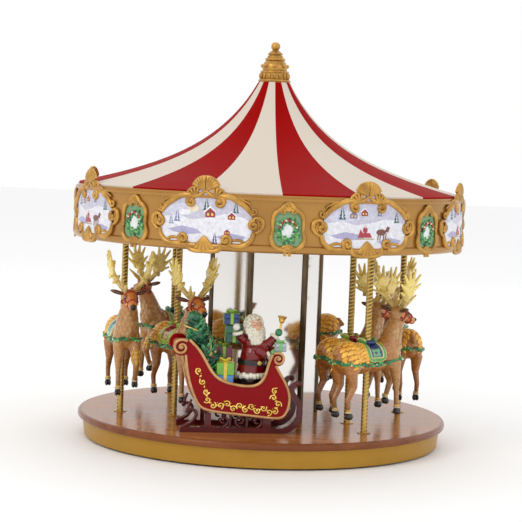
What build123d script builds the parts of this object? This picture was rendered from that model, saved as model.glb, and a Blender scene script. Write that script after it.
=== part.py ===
from build123d import *
import os
from math import cos, pi, radians, sin

# Carousel music box: a base with the drive and the sound parts inside, and a turning carousel
# on it: a deck, a mirrored column, a striped canopy, a sleigh with a driver, and eight reindeer
# that rise and fall on twisted poles. Millimetres, +Z up, origin at the centre of the footprint.
# The front faces -Y. A station angle is counted from the front, positive towards +X, which is
# the way the carousel turns.

# ---- Driving dimensions: base -----------------------------------------------------------
foot_height = 1.5
foot_radius = 8.0
foot_ring = 126.0
foot_count = 6
skirt_bottom_radius = 144.5
skirt_top_radius = 146.0
skirt_wall = 2.2
skirt_height = 13.5
plate_thickness = 2.5
plate_clearance = 0.3
screw_count = 6
screw_shank_radius = 1.5
screw_head_radius = 3.0
screw_head_height = 1.5
screw_length = 8.0
boss_radius = 5.0
boss_height = 8.0
boss_overlap = 0.8

# ---- Driving dimensions: deck and drive -------------------------------------------------
deck_radius = 150.0
deck_thickness = 4.0
deck_edge_width = 3.0
deck_edge_lip = 4.0
deck_edge_drop = 1.7
deck_edge_round = 2.4
turning_gap = 0.3
post_radius = 5.0
post_flange_radius = 16.0
post_flange_height = 2.5
bearing_height = 2.5
bearing_radius = 12.0
running_clearance = 0.05
bushing_wall = 2.0
hub_wall = 4.0
gear_module = 1.0
hub_teeth = 60
idler_teeth = 30
pinion_teeth = 10
gear_thickness = 3.0
gear_gap_below_deck = 1.0
idler_angle = 200.0
idler_pin_radius = 2.0
idler_shoulder_radius = 4.0
motor_radius = 15.5
motor_gap = 0.8
motor_shaft_radius = 1.5
motor_nose_radius = 4.5
motor_nose_height = 1.0
motor_shaft_depth = 3.0

# ---- Driving dimensions: lift cams and poles --------------------------------------------
pole_radius = 2.7
pole_slide_clearance = 0.1
bush_wall = 1.4
bush_flange = 0.9
bush_flange_height = 0.6
outer_station_radius = 117.0
inner_station_radius = 80.0
first_outer_station = -77.0
first_inner_station = -61.0
sleigh_station = -17.0
cam_wall = 2.5
cam_foot_width = 6.0
cam_foot_height = 1.5
cam_deck_gap = 1.0
cam_lobes = 3
cam_chords = 36
cam_swing = 3.7
cam_rest_offset = 1.2
groove_width = 3.2
groove_depth = 1.4
follower_radius = 1.1
follower_gap = 0.3
follower_reach = 3.0
pole_tail = 1.6
pole_above_ceiling = 18.0

# ---- Driving dimensions: column and canopy ----------------------------------------------
ceiling_height = 166.0
ceiling_thickness = 2.5
column_radius = 45.0
column_post_radius = 2.6
mirror_thickness = 1.6
mirror_gap = 0.15
column_sides = 6
upper_hub_height = 11.5
collar_height = 5.0
collar_wall = 4.0
post_end = 3.0
post_chamfer = 1.0
slip_ring_height = 12.0
slip_ring_wall = 3.5
slip_ring_drop = 6.0
band_heights = (3.0, 7.5)
band_width = 1.5
band_depth = 0.8
brush_width = 7.0
brush_depth = 8.0
rim_bottom = 161.6
rim_height = 42.4
rim_radius = 156.0
rim_wall = 6.0
rim_bead = 2.2
rim_lip = 1.8
rim_lip_height = 4.0
tent_wall = 2.2
tent_height = 87.0
tent_top_radius = 13.0
finial_height = 32.8
finial_radius = 12.3
finial_stud_radius = 4.0
finial_stud_length = 7.0
cartouche_count = 8
cartouche_angle = -17.3
cartouche_depth = 5.0
cartouche_width = 84.0
cartouche_band = 38.0
window_width = 60.0
window_height = 30.0
wreath_frame_width = 26.0
wreath_frame_height = 38.0
wreath_plate_radius = 8.0
panel_thickness = 1.4
panel_gap = 0.2

# ---- Driving dimensions: controls -------------------------------------------------------
button_radius = 3.4
button_flange_radius = 4.4
button_flange_thickness = 1.2
button_proud = 2.0
button_travel = 1.0
button_clearance = 0.1
power_angle = 168.0
music_angle = 174.0
volume_angle = 180.0
inlet_angle = 188.0
knob_radius = 4.6
knob_length = 5.0
knob_shaft_radius = 1.5
inlet_barrel_radius = 2.9
inlet_body_size = 8.0
inlet_body_length = 12.5
inlet_depth = 14.0
inlet_socket_radius = 2.0
inlet_pin_radius = 0.7
control_board_inset = 9.0
control_board_length = 44.0
control_board_height = 9.0
switch_size = 5.0
control_size = 7.0
control_depth = 4.5
speaker_ring = 44.0
speaker_radius = 18.0
speaker_rim_height = 2.5
grille_hole_radius = 1.5
magnet_radius = 8.0
magnet_height = 3.0
board_ring = 46.0
board_length = 26.0
board_width = 22.0
board_thickness = 1.6
standoff_height = 2.0
edge_round = 0.6

# ---- Driving dimensions: sleigh and reindeer --------------------------------------------
sleigh_place = (-16.0, -90.5)
sleigh_turn = 8.0
sleigh_half_width = 18.0
sleigh_wall = 2.2
runner_thickness = 3.0
runner_bar = 4.2
reindeer_body_radius = 12.3
body_half_length = 34.0
body_waist = 0.8
hoof_drop = 57.0
antler_rise = 58.0

# ---- Heights worked out from the stack --------------------------------------------------
skirt_bottom = foot_height
skirt_top = skirt_bottom + skirt_height
plate_top = skirt_bottom + plate_thickness
deck_underside = skirt_top + turning_gap + deck_edge_drop
deck_top = deck_underside + deck_thickness
bearing_bottom = plate_top + post_flange_height
bearing_top = bearing_bottom + bearing_height
hub_bottom = bearing_top + 2 * running_clearance
gear_top = deck_underside - gear_gap_below_deck
gear_bottom = gear_top - gear_thickness
cam_top = deck_underside - cam_deck_gap
cam_middle = (plate_top + cam_top) / 2
outer_cam_radius = outer_station_radius - pole_radius - follower_reach - follower_gap
inner_cam_radius = inner_station_radius - pole_radius - follower_reach - follower_gap
ceiling_top = ceiling_height + ceiling_thickness
rim_top = rim_bottom + rim_height
tent_top = rim_top + tent_height
bushing_radius = post_radius + running_clearance + bushing_wall
hub_radius = bushing_radius + hub_wall
upper_bushing_top = ceiling_top + upper_hub_height
collar_bottom = upper_bushing_top + turning_gap
post_top = collar_bottom + collar_height + post_end
slip_ring_top = ceiling_height - slip_ring_drop
slip_ring_bottom = slip_ring_top - slip_ring_height
skirt_middle = skirt_bottom + skirt_height / 2
bush_radius = pole_radius + pole_slide_clearance + bush_wall


def on_circle(radius, angle, height=0.0):
    """A point at a station angle, counted from the front towards +X."""
    return Vector(radius * sin(radians(angle)), -radius * cos(radians(angle)), height)


def station_plane(radius, angle, height=0.0, heading=None):
    """A level plane whose x points the way the station travels, or along a heading."""
    travel = radians(angle if heading is None else heading)
    return Plane(on_circle(radius, angle, height), x_dir=(cos(travel), sin(travel), 0), z_dir=(0, 0, 1))


def outward_plane(radius, angle, height):
    """An upright plane that faces away from the axis, with y up."""
    facing = on_circle(1.0, angle)
    across = on_circle(1.0, angle + 90)
    return Plane(on_circle(radius, angle, height), x_dir=across, z_dir=facing)


def keep(builder, label):
    """Name a finished piece and write its file."""
    builder.part.label = label
    export_step(builder.part, f"parts/{label}.step")


os.makedirs("parts", exist_ok=True)

# Reindeer: name, station radius, station angle, heading, saddle height above the deck, lift phase.
# Phase 1 follows the leading cam flank, and phase -1 is half a lobe behind it.
herd = [
    ("outer_1", outer_station_radius, first_outer_station, -77.0, 74.5, 1),
    ("outer_2", outer_station_radius, first_outer_station + 120, 43.0, 70.5, 1),
    ("outer_3", outer_station_radius, first_outer_station + 180, 103.0, 71.0, -1),
    ("outer_4", outer_station_radius, first_outer_station + 240, 163.0, 71.0, 1),
    ("outer_5", outer_station_radius, first_outer_station + 300, 223.0, 72.5, -1),
    ("inner_1", inner_station_radius, first_inner_station, -63.0, 72.0, -1),
    ("inner_2", inner_station_radius, first_inner_station + 120, 45.0, 68.5, -1),
    ("inner_3", inner_station_radius, first_inner_station + 240, 179.0, 70.0, -1),
]
pole_places = [on_circle(radius, angle) for _, radius, angle, _, _, _ in herd]

# ---- Base -------------------------------------------------------------------------------
boss_ring = skirt_bottom_radius - skirt_wall - boss_radius + boss_overlap
plate_radius = skirt_bottom_radius - skirt_wall - plate_clearance
control_height = skirt_middle + 0.5
hole_start = skirt_top_radius - 8
hole_length = 12

with BuildPart() as base_skirt:
    with BuildSketch(Plane.XZ):
        with BuildLine():
            Polyline(
                (skirt_bottom_radius, skirt_bottom),
                (skirt_top_radius, skirt_top),
                (skirt_top_radius - skirt_wall, skirt_top),
                (skirt_bottom_radius - skirt_wall, skirt_bottom),
                close=True,
            )
        make_face()
    revolve(axis=Axis.Z)
    with BuildSketch(Plane.XY.offset(plate_top)):
        with PolarLocations(boss_ring, screw_count):
            Circle(boss_radius)
    extrude(amount=boss_height)
    with BuildSketch(Plane.XY.offset(plate_top)):
        with PolarLocations(boss_ring, screw_count):
            Circle(screw_shank_radius)
    extrude(amount=boss_height, mode=Mode.SUBTRACT)
    for angle in (power_angle, music_angle):
        with BuildSketch(outward_plane(hole_start, angle, control_height)):
            Circle(button_radius + button_clearance)
        extrude(amount=hole_length, mode=Mode.SUBTRACT)
    with BuildSketch(outward_plane(hole_start, volume_angle, control_height)):
        Circle(knob_shaft_radius + button_clearance)
    extrude(amount=hole_length, mode=Mode.SUBTRACT)
    with BuildSketch(outward_plane(hole_start, inlet_angle, control_height)):
        Circle(inlet_barrel_radius)
    extrude(amount=hole_length, mode=Mode.SUBTRACT)
keep(base_skirt, "base_skirt")

speaker_place = on_circle(speaker_ring, 90 + idler_angle + 180)
with BuildPart() as bottom_plate:
    with BuildSketch(Plane.XY.offset(skirt_bottom)):
        Circle(plate_radius)
    extrude(amount=plate_thickness)
    with BuildSketch(Plane.XY.offset(skirt_bottom)):
        with PolarLocations(boss_ring, screw_count):
            Circle(screw_shank_radius)
    extrude(amount=plate_thickness, mode=Mode.SUBTRACT)
    with BuildSketch(Plane.XY.offset(skirt_bottom)):
        with PolarLocations(boss_ring, screw_count):
            Circle(screw_head_radius)
    extrude(amount=screw_head_height, mode=Mode.SUBTRACT)
    with BuildSketch(Plane.XY.offset(skirt_bottom)):
        with Locations(speaker_place):
            with PolarLocations(10, 8):
                Circle(grille_hole_radius)
            with PolarLocations(5, 4):
                Circle(grille_hole_radius)
    extrude(amount=plate_thickness, mode=Mode.SUBTRACT)
keep(bottom_plate, "bottom_plate")

with BuildPart() as bottom_screws:
    with BuildSketch(Plane.XY.offset(skirt_bottom)):
        with PolarLocations(boss_ring, screw_count):
            Circle(screw_head_radius)
    extrude(amount=screw_head_height)
    with BuildSketch(Plane.XY.offset(skirt_bottom + screw_head_height)):
        with PolarLocations(boss_ring, screw_count):
            Circle(screw_shank_radius)
    extrude(amount=screw_length - screw_head_height)
keep(bottom_screws, "bottom_screws")

with BuildPart() as rubber_feet:
    with BuildSketch():
        with PolarLocations(foot_ring, foot_count, start_angle=180 / foot_count):
            Circle(foot_radius)
    extrude(amount=foot_height)
keep(rubber_feet, "rubber_feet")

# ---- Lift cams: fixed rings with a waved groove in their outer face ----------------------


def cam_height(angle, leading_angle):
    """Height of the groove's centre line at a station angle."""
    rest_phase = cam_rest_offset / cam_swing
    turn = radians(cam_lobes * (angle - leading_angle))
    swing = rest_phase * cos(turn) - (1 - rest_phase**2) ** 0.5 * sin(turn)
    return cam_middle + cam_swing * swing


def cam_track(radius, leading_angle):
    """A ring with a foot, and its groove cut chord by chord."""
    step = 360 / cam_chords
    chords = []
    for index in range(cam_chords):
        start_angle = index * step
        end_angle = start_angle + step
        start = on_circle(radius, start_angle, cam_height(start_angle, leading_angle))
        end = on_circle(radius, end_angle, cam_height(end_angle, leading_angle))
        outward = on_circle(1.0, start_angle + step / 2)
        chords.append(Plane((start + end) * 0.5, x_dir=end - start, z_dir=outward))
    chord_length = 2 * radius * sin(radians(step / 2)) * 1.12
    with BuildPart() as ring:
        with BuildSketch(Plane.XY.offset(plate_top)):
            Circle(radius)
            Circle(radius - cam_wall - cam_foot_width, mode=Mode.SUBTRACT)
        extrude(amount=cam_foot_height)
        with BuildSketch(Plane.XY.offset(plate_top + cam_foot_height)):
            Circle(radius)
            Circle(radius - cam_wall, mode=Mode.SUBTRACT)
        extrude(amount=cam_top - plate_top - cam_foot_height)
        with Locations(*chords):
            Box(chord_length, groove_width, 2 * groove_depth, mode=Mode.SUBTRACT)
    return ring


outer_cam_track = cam_track(outer_cam_radius, first_outer_station)
keep(outer_cam_track, "outer_cam_track")
inner_cam_track = cam_track(inner_cam_radius, first_inner_station + 180 / cam_lobes)
keep(inner_cam_track, "inner_cam_track")

# ---- Spindle, bearing and slip ring ------------------------------------------------------
with BuildPart() as center_post:
    with BuildSketch(Plane.XY.offset(plate_top)):
        Circle(post_flange_radius)
    extrude(amount=post_flange_height)
    with BuildSketch(Plane.XY.offset(bearing_bottom)):
        Circle(post_radius)
    extrude(amount=post_top - bearing_bottom)
    chamfer(center_post.edges().group_by(Axis.Z)[-1], post_chamfer)
keep(center_post, "center_post")


def tube(bottom, top, inner, outer):
    """A plain ring about the carousel's axis."""
    with BuildPart() as ring:
        with BuildSketch(Plane.XY.offset(bottom)):
            Circle(outer)
            Circle(inner, mode=Mode.SUBTRACT)
        extrude(amount=top - bottom)
    return ring


keep(tube(bearing_bottom, bearing_top, post_radius, bearing_radius), "thrust_bearing")
keep(tube(collar_bottom, collar_bottom + collar_height, post_radius, post_radius + collar_wall), "retaining_collar")

slip_ring_radius = post_radius + slip_ring_wall
with BuildPart() as slip_ring:
    with BuildSketch(Plane.XY.offset(slip_ring_bottom)):
        Circle(slip_ring_radius)
        Circle(post_radius, mode=Mode.SUBTRACT)
    extrude(amount=slip_ring_height)
    for band in band_heights:
        with BuildSketch(Plane.XY.offset(slip_ring_bottom + band)):
            Circle(slip_ring_radius)
            Circle(slip_ring_radius - band_depth, mode=Mode.SUBTRACT)
        extrude(amount=band_width, mode=Mode.SUBTRACT)
keep(slip_ring, "slip_ring")

# ---- Gear train: pinion, idler, hub gear -------------------------------------------------
hub_pitch = gear_module * hub_teeth / 2
idler_pitch = gear_module * idler_teeth / 2
pinion_pitch = gear_module * pinion_teeth / 2
idler_place = Vector(
    (hub_pitch + idler_pitch) * cos(radians(idler_angle)),
    (hub_pitch + idler_pitch) * sin(radians(idler_angle)),
)
pinion_direction = idler_angle + 90
pinion_place = idler_place + Vector(
    (idler_pitch + pinion_pitch) * cos(radians(pinion_direction)),
    (idler_pitch + pinion_pitch) * sin(radians(pinion_direction)),
)


def gear_teeth(teeth, first_tooth, place):
    """Sketch of a spur gear with straight-sided teeth and backlash."""
    pitch_radius = gear_module * teeth / 2
    root_radius = pitch_radius - 1.2 * gear_module
    tip_radius = pitch_radius + 0.85 * gear_module
    root_half = 0.30 * 360 / teeth
    tip_half = 0.13 * 360 / teeth
    with Locations(place):
        Circle(root_radius)
        for index in range(teeth):
            centre = first_tooth + index * 360 / teeth
            corners = []
            for radius, half in (
                (root_radius - 0.3, -root_half),
                (tip_radius, -tip_half),
                (tip_radius, tip_half),
                (root_radius - 0.3, root_half),
            ):
                corner_angle = radians(centre + half)
                corners.append((radius * cos(corner_angle), radius * sin(corner_angle)))
            Polygon(*corners, align=None)


with BuildPart() as hub_gear:
    with BuildSketch(Plane.XY.offset(gear_bottom)):
        gear_teeth(hub_teeth, idler_angle, Vector(0, 0))
    extrude(amount=gear_thickness)
    with BuildSketch(Plane.XY.offset(hub_bottom)):
        Circle(hub_radius)
    extrude(amount=deck_underside - hub_bottom)
    with BuildSketch(Plane.XY.offset(hub_bottom)):
        Circle(bushing_radius)
    extrude(amount=deck_underside - hub_bottom, mode=Mode.SUBTRACT)
keep(hub_gear, "hub_gear")

with BuildPart() as idler_gear:
    with BuildSketch(Plane.XY.offset(gear_bottom)):
        gear_teeth(idler_teeth, idler_angle + 180 + 180 / idler_teeth, idler_place)
    extrude(amount=gear_thickness)
    with BuildSketch(Plane.XY.offset(gear_bottom)):
        with Locations(idler_place):
            Circle(idler_pin_radius + running_clearance)
    extrude(amount=gear_thickness, mode=Mode.SUBTRACT)
keep(idler_gear, "idler_gear")

with BuildPart() as idler_pin:
    with BuildSketch(Plane.XY.offset(plate_top)):
        with Locations(idler_place):
            Circle(idler_shoulder_radius)
    extrude(amount=gear_bottom - plate_top - 2 * running_clearance)
    with BuildSketch(Plane.XY.offset(plate_top)):
        with Locations(idler_place):
            Circle(idler_pin_radius)
    extrude(amount=gear_top - plate_top + 0.5)
keep(idler_pin, "idler_pin")

motor_top = gear_bottom - motor_gap
with BuildPart() as drive_pinion:
    with BuildSketch(Plane.XY.offset(gear_bottom)):
        gear_teeth(pinion_teeth, pinion_direction + 180 + 180 / pinion_teeth, pinion_place)
    extrude(amount=gear_thickness)
    with BuildSketch(Plane.XY.offset(motor_top - motor_shaft_depth)):
        with Locations(pinion_place):
            Circle(motor_shaft_radius)
    extrude(amount=gear_bottom - motor_top + motor_shaft_depth)
keep(drive_pinion, "drive_pinion")

with BuildPart() as motor:
    with BuildSketch(Plane.XY.offset(plate_top)):
        with Locations(pinion_place):
            Circle(motor_radius)
    extrude(amount=motor_top - plate_top - motor_nose_height)
    with BuildSketch(Plane.XY.offset(plate_top)):
        with Locations(pinion_place):
            Circle(motor_nose_radius)
    extrude(amount=motor_top - plate_top)
    with BuildSketch(Plane.XY.offset(motor_top - motor_shaft_depth - running_clearance)):
        with Locations(pinion_place):
            Circle(motor_shaft_radius + running_clearance)
    extrude(amount=motor_shaft_depth + 2, mode=Mode.SUBTRACT)
keep(motor, "motor")

# ---- Sound parts and controls ------------------------------------------------------------
with BuildPart() as speaker:
    with BuildSketch(Plane.XY.offset(plate_top)):
        with Locations(speaker_place):
            Circle(speaker_radius)
    extrude(amount=speaker_rim_height)
    with BuildSketch(Plane.XY.offset(plate_top + speaker_rim_height)):
        with Locations(speaker_place):
            Circle(speaker_radius - 2)
    extrude(amount=speaker_rim_height, taper=40)
    with BuildSketch(Plane.XY.offset(plate_top + 2 * speaker_rim_height - 0.5)):
        with Locations(speaker_place):
            Circle(magnet_radius)
    extrude(amount=magnet_height)
keep(speaker, "speaker")

board_place = on_circle(board_ring, 90 + idler_angle + 110)
with BuildPart() as sound_board:
    with BuildSketch(Plane.XY.offset(plate_top)):
        with Locations(board_place):
            with GridLocations(20, 16, 2, 2):
                Circle(1.5)
    extrude(amount=standoff_height)
    with BuildSketch(Plane.XY.offset(plate_top + standoff_height)):
        with Locations(board_place):
            Rectangle(board_length, board_width)
    extrude(amount=board_thickness)
    with BuildSketch(Plane.XY.offset(plate_top + standoff_height + board_thickness)):
        with Locations(board_place):
            Rectangle(9, 9)
            with Locations((-9, 6), (9, 6), (9, -6)):
                Rectangle(4, 3)
    extrude(amount=1.5)
keep(sound_board, "sound_board")

wall_inside = skirt_bottom_radius - skirt_wall
flange_back = wall_inside - 2 * button_flange_thickness
switch_top = flange_back - button_travel - turning_gap
control_board_radius = wall_inside - control_board_inset
switch_base = control_board_radius - board_thickness / 2
with BuildPart() as control_board:
    with BuildSketch(station_plane(control_board_radius, music_angle, plate_top)):
        Rectangle(control_board_length, board_thickness)
    extrude(amount=control_board_height)
    for angle in (power_angle, music_angle):
        with BuildSketch(outward_plane(switch_base, angle, control_height)):
            Rectangle(switch_size, switch_size)
        extrude(amount=switch_top - switch_base)
    with BuildSketch(outward_plane(switch_base, volume_angle, control_height)):
        Rectangle(control_size, control_size)
    extrude(amount=control_depth)
keep(control_board, "control_board")

inlet_back = skirt_top_radius - skirt_wall - inlet_depth
with BuildPart() as dc_inlet:
    with BuildSketch(outward_plane(inlet_back, inlet_angle, control_height)):
        Rectangle(inlet_body_size, inlet_body_size)
    extrude(amount=inlet_body_length)
    with BuildSketch(outward_plane(inlet_back, inlet_angle, control_height)):
        Circle(inlet_barrel_radius)
    extrude(amount=inlet_depth + 1.5)
    with BuildSketch(outward_plane(inlet_back + 6, inlet_angle, control_height)):
        Circle(inlet_socket_radius)
        Circle(inlet_pin_radius, mode=Mode.SUBTRACT)
    extrude(amount=hole_length, mode=Mode.SUBTRACT)
keep(dc_inlet, "dc_inlet")


def push_button(angle):
    """A round cap through the skirt, with a flange inside that holds it in."""
    with BuildPart() as button:
        with BuildSketch(outward_plane(flange_back, angle, control_height)):
            Circle(button_flange_radius)
        extrude(amount=button_flange_thickness)
        with BuildSketch(outward_plane(flange_back + button_flange_thickness, angle, control_height)):
            Circle(button_radius)
        extrude(amount=2 * button_flange_thickness + skirt_wall + button_proud)
        fillet(button.edges().sort_by(Axis.Y)[-1], edge_round)
    return button


keep(push_button(power_angle), "power_button")
keep(push_button(music_angle), "music_button")

knob_shaft_start = control_board_radius + 4.0
with BuildPart() as volume_knob:
    with BuildSketch(outward_plane(skirt_top_radius + turning_gap, volume_angle, control_height)):
        RegularPolygon(knob_radius, 16)
    extrude(amount=knob_length)
    fillet(volume_knob.faces().sort_by(Axis.Y)[-1].edges(), edge_round)
    with BuildSketch(outward_plane(knob_shaft_start, volume_angle, control_height)):
        Circle(knob_shaft_radius)
    extrude(amount=skirt_top_radius + turning_gap - knob_shaft_start)
keep(volume_knob, "volume_knob")

# ---- Deck and bushings -------------------------------------------------------------------
disc_radius = deck_radius - deck_edge_width
with BuildPart() as platform:
    with BuildSketch(Plane.XY.offset(deck_underside)):
        Circle(disc_radius)
        Circle(bushing_radius, mode=Mode.SUBTRACT)
        with Locations(*pole_places):
            Circle(bush_radius, mode=Mode.SUBTRACT)
    extrude(amount=deck_thickness)
keep(platform, "platform")

with BuildPart() as deck_edge:
    with BuildSketch(Plane.XY.offset(skirt_top + turning_gap)):
        Circle(deck_radius)
    extrude(amount=deck_top - skirt_top - turning_gap)
    fillet(deck_edge.edges().filter_by(GeomType.CIRCLE), deck_edge_round)
    with BuildSketch(Plane.XY.offset(deck_underside)):
        Circle(disc_radius)
    extrude(amount=deck_thickness, mode=Mode.SUBTRACT)
    with BuildSketch(Plane.XY.offset(skirt_top)):
        Circle(disc_radius - deck_edge_lip)
    extrude(amount=deck_thickness, mode=Mode.SUBTRACT)
keep(deck_edge, "deck_edge")

keep(tube(hub_bottom, deck_top, post_radius + running_clearance, bushing_radius), "lower_bushing")
keep(tube(ceiling_height, upper_bushing_top, post_radius + running_clearance, bushing_radius), "upper_bushing")

with BuildPart() as pole_bushes:
    bush_spans = (
        (deck_underside, deck_top, deck_top),
        (ceiling_height, ceiling_top, ceiling_height - bush_flange_height),
    )
    for bottom, top, flange_bottom in bush_spans:
        with BuildSketch(Plane.XY.offset(bottom)):
            with Locations(*pole_places):
                Circle(bush_radius)
        extrude(amount=top - bottom)
        with BuildSketch(Plane.XY.offset(flange_bottom)):
            with Locations(*pole_places):
                Circle(bush_radius + bush_flange)
        extrude(amount=bush_flange_height)
    with BuildSketch(Plane.XY.offset(deck_underside)):
        with Locations(*pole_places):
            Circle(pole_radius + pole_slide_clearance)
    extrude(amount=ceiling_top - deck_underside, mode=Mode.SUBTRACT)
keep(pole_bushes, "pole_bushes")

# ---- Column ------------------------------------------------------------------------------
column_height = ceiling_height - deck_top
column_step = 360 / column_sides
with BuildPart() as column_posts:
    with BuildSketch(Plane.XY.offset(deck_top)):
        for index in range(column_sides):
            with Locations(station_plane(column_radius, sleigh_station + column_step * index)):
                RegularPolygon(column_post_radius, 6)
    extrude(amount=column_height)
keep(column_posts, "column_posts")

mirror_width = 2 * column_radius * sin(pi / column_sides) - 2 * column_post_radius - 2 * mirror_gap
with BuildPart() as column_mirrors:
    with BuildSketch(Plane.XY.offset(deck_top)):
        for index in range(column_sides):
            mirror_angle = sleigh_station + column_step * (index + 0.5)
            with Locations(station_plane(column_radius * cos(pi / column_sides), mirror_angle)):
                Rectangle(mirror_width, mirror_thickness)
    extrude(amount=column_height)
keep(column_mirrors, "column_mirrors")

# ---- Canopy ------------------------------------------------------------------------------
ceiling_radius = rim_radius - rim_wall
with BuildPart() as canopy_ceiling:
    with BuildSketch(Plane.XY.offset(ceiling_height)):
        Circle(ceiling_radius)
        with Locations(*pole_places):
            Circle(bush_radius, mode=Mode.SUBTRACT)
    extrude(amount=ceiling_thickness)
    with BuildSketch(Plane.XY.offset(ceiling_top)):
        Circle(hub_radius)
    extrude(amount=upper_bushing_top - ceiling_top)
    with BuildSketch(Plane.XY.offset(ceiling_height)):
        Circle(bushing_radius)
    extrude(amount=upper_bushing_top - ceiling_height, mode=Mode.SUBTRACT)
keep(canopy_ceiling, "canopy_ceiling")

bead_height = 6.0
with BuildPart() as canopy_rim:
    with BuildSketch(Plane.XZ):
        with BuildLine():
            Polyline(
                (rim_radius, rim_bottom + bead_height),
                (rim_radius, rim_top - rim_lip_height),
                (rim_radius + rim_lip, rim_top - rim_lip_height),
                (rim_radius + rim_lip, rim_top - rim_lip_height / 2),
                (rim_radius, rim_top - rim_lip_height / 2),
                (rim_radius, rim_top),
                (ceiling_radius, rim_top),
                (ceiling_radius, rim_bottom),
                (rim_radius - 1, rim_bottom),
            )
            ThreePointArc(
                (rim_radius - 1, rim_bottom),
                (rim_radius + rim_bead, rim_bottom + bead_height / 2 - 0.4),
                (rim_radius, rim_bottom + bead_height),
            )
        make_face()
    revolve(axis=Axis.Z)
keep(canopy_rim, "canopy_rim")

tent_radius = rim_radius - 1.0
tent_foot = 1.2
with BuildPart() as canopy_tent:
    with BuildSketch(Plane.XZ):
        with BuildLine():
            outer_curve = Spline(
                (tent_radius, rim_top + tent_foot),
                (tent_radius * 0.54, rim_top + tent_height * 0.272),
                (tent_radius * 0.316, rim_top + tent_height * 0.506),
                (tent_radius * 0.18, rim_top + tent_height * 0.742),
                (tent_top_radius, tent_top),
            )
            inner_curve = Spline(
                (tent_radius - 2.5 * tent_wall, rim_top),
                (tent_radius * 0.54 - tent_wall * 0.3, rim_top + tent_height * 0.272 - tent_wall),
                (tent_radius * 0.316 - tent_wall * 0.6, rim_top + tent_height * 0.506 - tent_wall),
                (tent_radius * 0.18 - tent_wall * 0.8, rim_top + tent_height * 0.742 - tent_wall),
                (tent_top_radius - tent_wall, tent_top - 1.5 * tent_wall),
            )
            Polyline((tent_radius - 2.5 * tent_wall, rim_top), (tent_radius, rim_top), outer_curve @ 0)
            Polyline(
                outer_curve @ 1,
                (finial_stud_radius, tent_top),
                (finial_stud_radius, tent_top - 1.5 * tent_wall),
                inner_curve @ 1,
            )
        make_face()
    revolve(axis=Axis.Z)
keep(canopy_tent, "canopy_tent")

ball_radius = finial_radius * 0.3
ball_middle = tent_top + finial_height - ball_radius
ball_start = radians(-50)
with BuildPart() as finial:
    with BuildSketch(Plane.XZ):
        with BuildLine():
            lower = Polyline(
                (0, tent_top - finial_stud_length),
                (finial_stud_radius, tent_top - finial_stud_length),
                (finial_stud_radius, tent_top),
                (finial_radius, tent_top),
                (finial_radius, tent_top + finial_height * 0.07),
                (finial_radius * 0.9, tent_top + finial_height * 0.09),
                (finial_radius * 0.9, tent_top + finial_height * 0.24),
                (finial_radius * 0.78, tent_top + finial_height * 0.27),
            )
            dome = ThreePointArc(
                lower @ 1,
                (finial_radius * 0.8, tent_top + finial_height * 0.42),
                (finial_radius * 0.52, tent_top + finial_height * 0.56),
            )
            neck = Polyline(
                dome @ 1,
                (finial_radius * 0.52, tent_top + finial_height * 0.64),
                (finial_radius * 0.4, tent_top + finial_height * 0.66),
                (finial_radius * 0.4, tent_top + finial_height * 0.74),
                (ball_radius * cos(ball_start), ball_middle + ball_radius * sin(ball_start)),
            )
            ball = CenterArc((0, ball_middle), ball_radius, -50, 140)
            Line(ball @ 1, lower @ 0)
        make_face()
    revolve(axis=Axis.Z)
keep(finial, "finial")

# ---- Cartouches: curved frames on the rim -------------------------------------------------
rim_middle = rim_bottom + rim_height / 2 + 5.5
trim_reach = 12.0


def rim_band(inner, outer, bottom, top):
    """A ring about the axis that curved trim is cut from."""
    with BuildPart() as band:
        with BuildSketch(Plane.XY.offset(bottom)):
            Circle(outer)
            Circle(inner, mode=Mode.SUBTRACT)
        extrude(amount=top - bottom)
    return band.part


def cartouche_outline():
    """Frame with shell clusters at the top, the foot and both ends."""
    RectangleRounded(cartouche_width * 0.86, cartouche_band, 9)
    half_width = cartouche_width / 2
    with Locations((0, 24.5)):
        Circle(9)
    with Locations((-9, 19), (9, 19)):
        Circle(7)
    with Locations((0, -18.5)):
        Circle(8)
    with Locations((-half_width + 9, 0), (half_width - 9, 0)):
        Circle(9)


large_angles = [cartouche_angle + 360 / cartouche_count * index for index in range(cartouche_count)]
wreath_angles = [angle + 180 / cartouche_count for angle in large_angles]
trim_base = rim_radius - trim_reach

with BuildPart() as large_cartouches:
    for angle in large_angles:
        with BuildSketch(outward_plane(trim_base, angle, rim_middle)):
            cartouche_outline()
            RectangleRounded(window_width, window_height, 8, mode=Mode.SUBTRACT)
        extrude(amount=2 * trim_reach)
    add(rim_band(rim_radius, rim_radius + cartouche_depth, rim_bottom - 10, rim_top + 20), mode=Mode.INTERSECT)
    add(canopy_rim.part, mode=Mode.SUBTRACT)
keep(large_cartouches, "large_cartouches")

wreath_middle = rim_bottom + rim_height / 2 - 3.5
with BuildPart() as wreath_cartouches:
    for angle in wreath_angles:
        with BuildSketch(outward_plane(trim_base, angle, wreath_middle)):
            RectangleRounded(wreath_frame_width * 0.8, wreath_frame_height * 0.82, 8)
            with Locations((0, wreath_frame_height * 0.4), (0, -wreath_frame_height * 0.4)):
                Circle(wreath_frame_height * 0.13)
            Circle(wreath_plate_radius, mode=Mode.SUBTRACT)
        extrude(amount=2 * trim_reach)
    add(rim_band(rim_radius, rim_radius + cartouche_depth - 1, rim_bottom - 10, rim_top + 20), mode=Mode.INTERSECT)
    add(canopy_rim.part, mode=Mode.SUBTRACT)
keep(wreath_cartouches, "wreath_cartouches")

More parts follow.
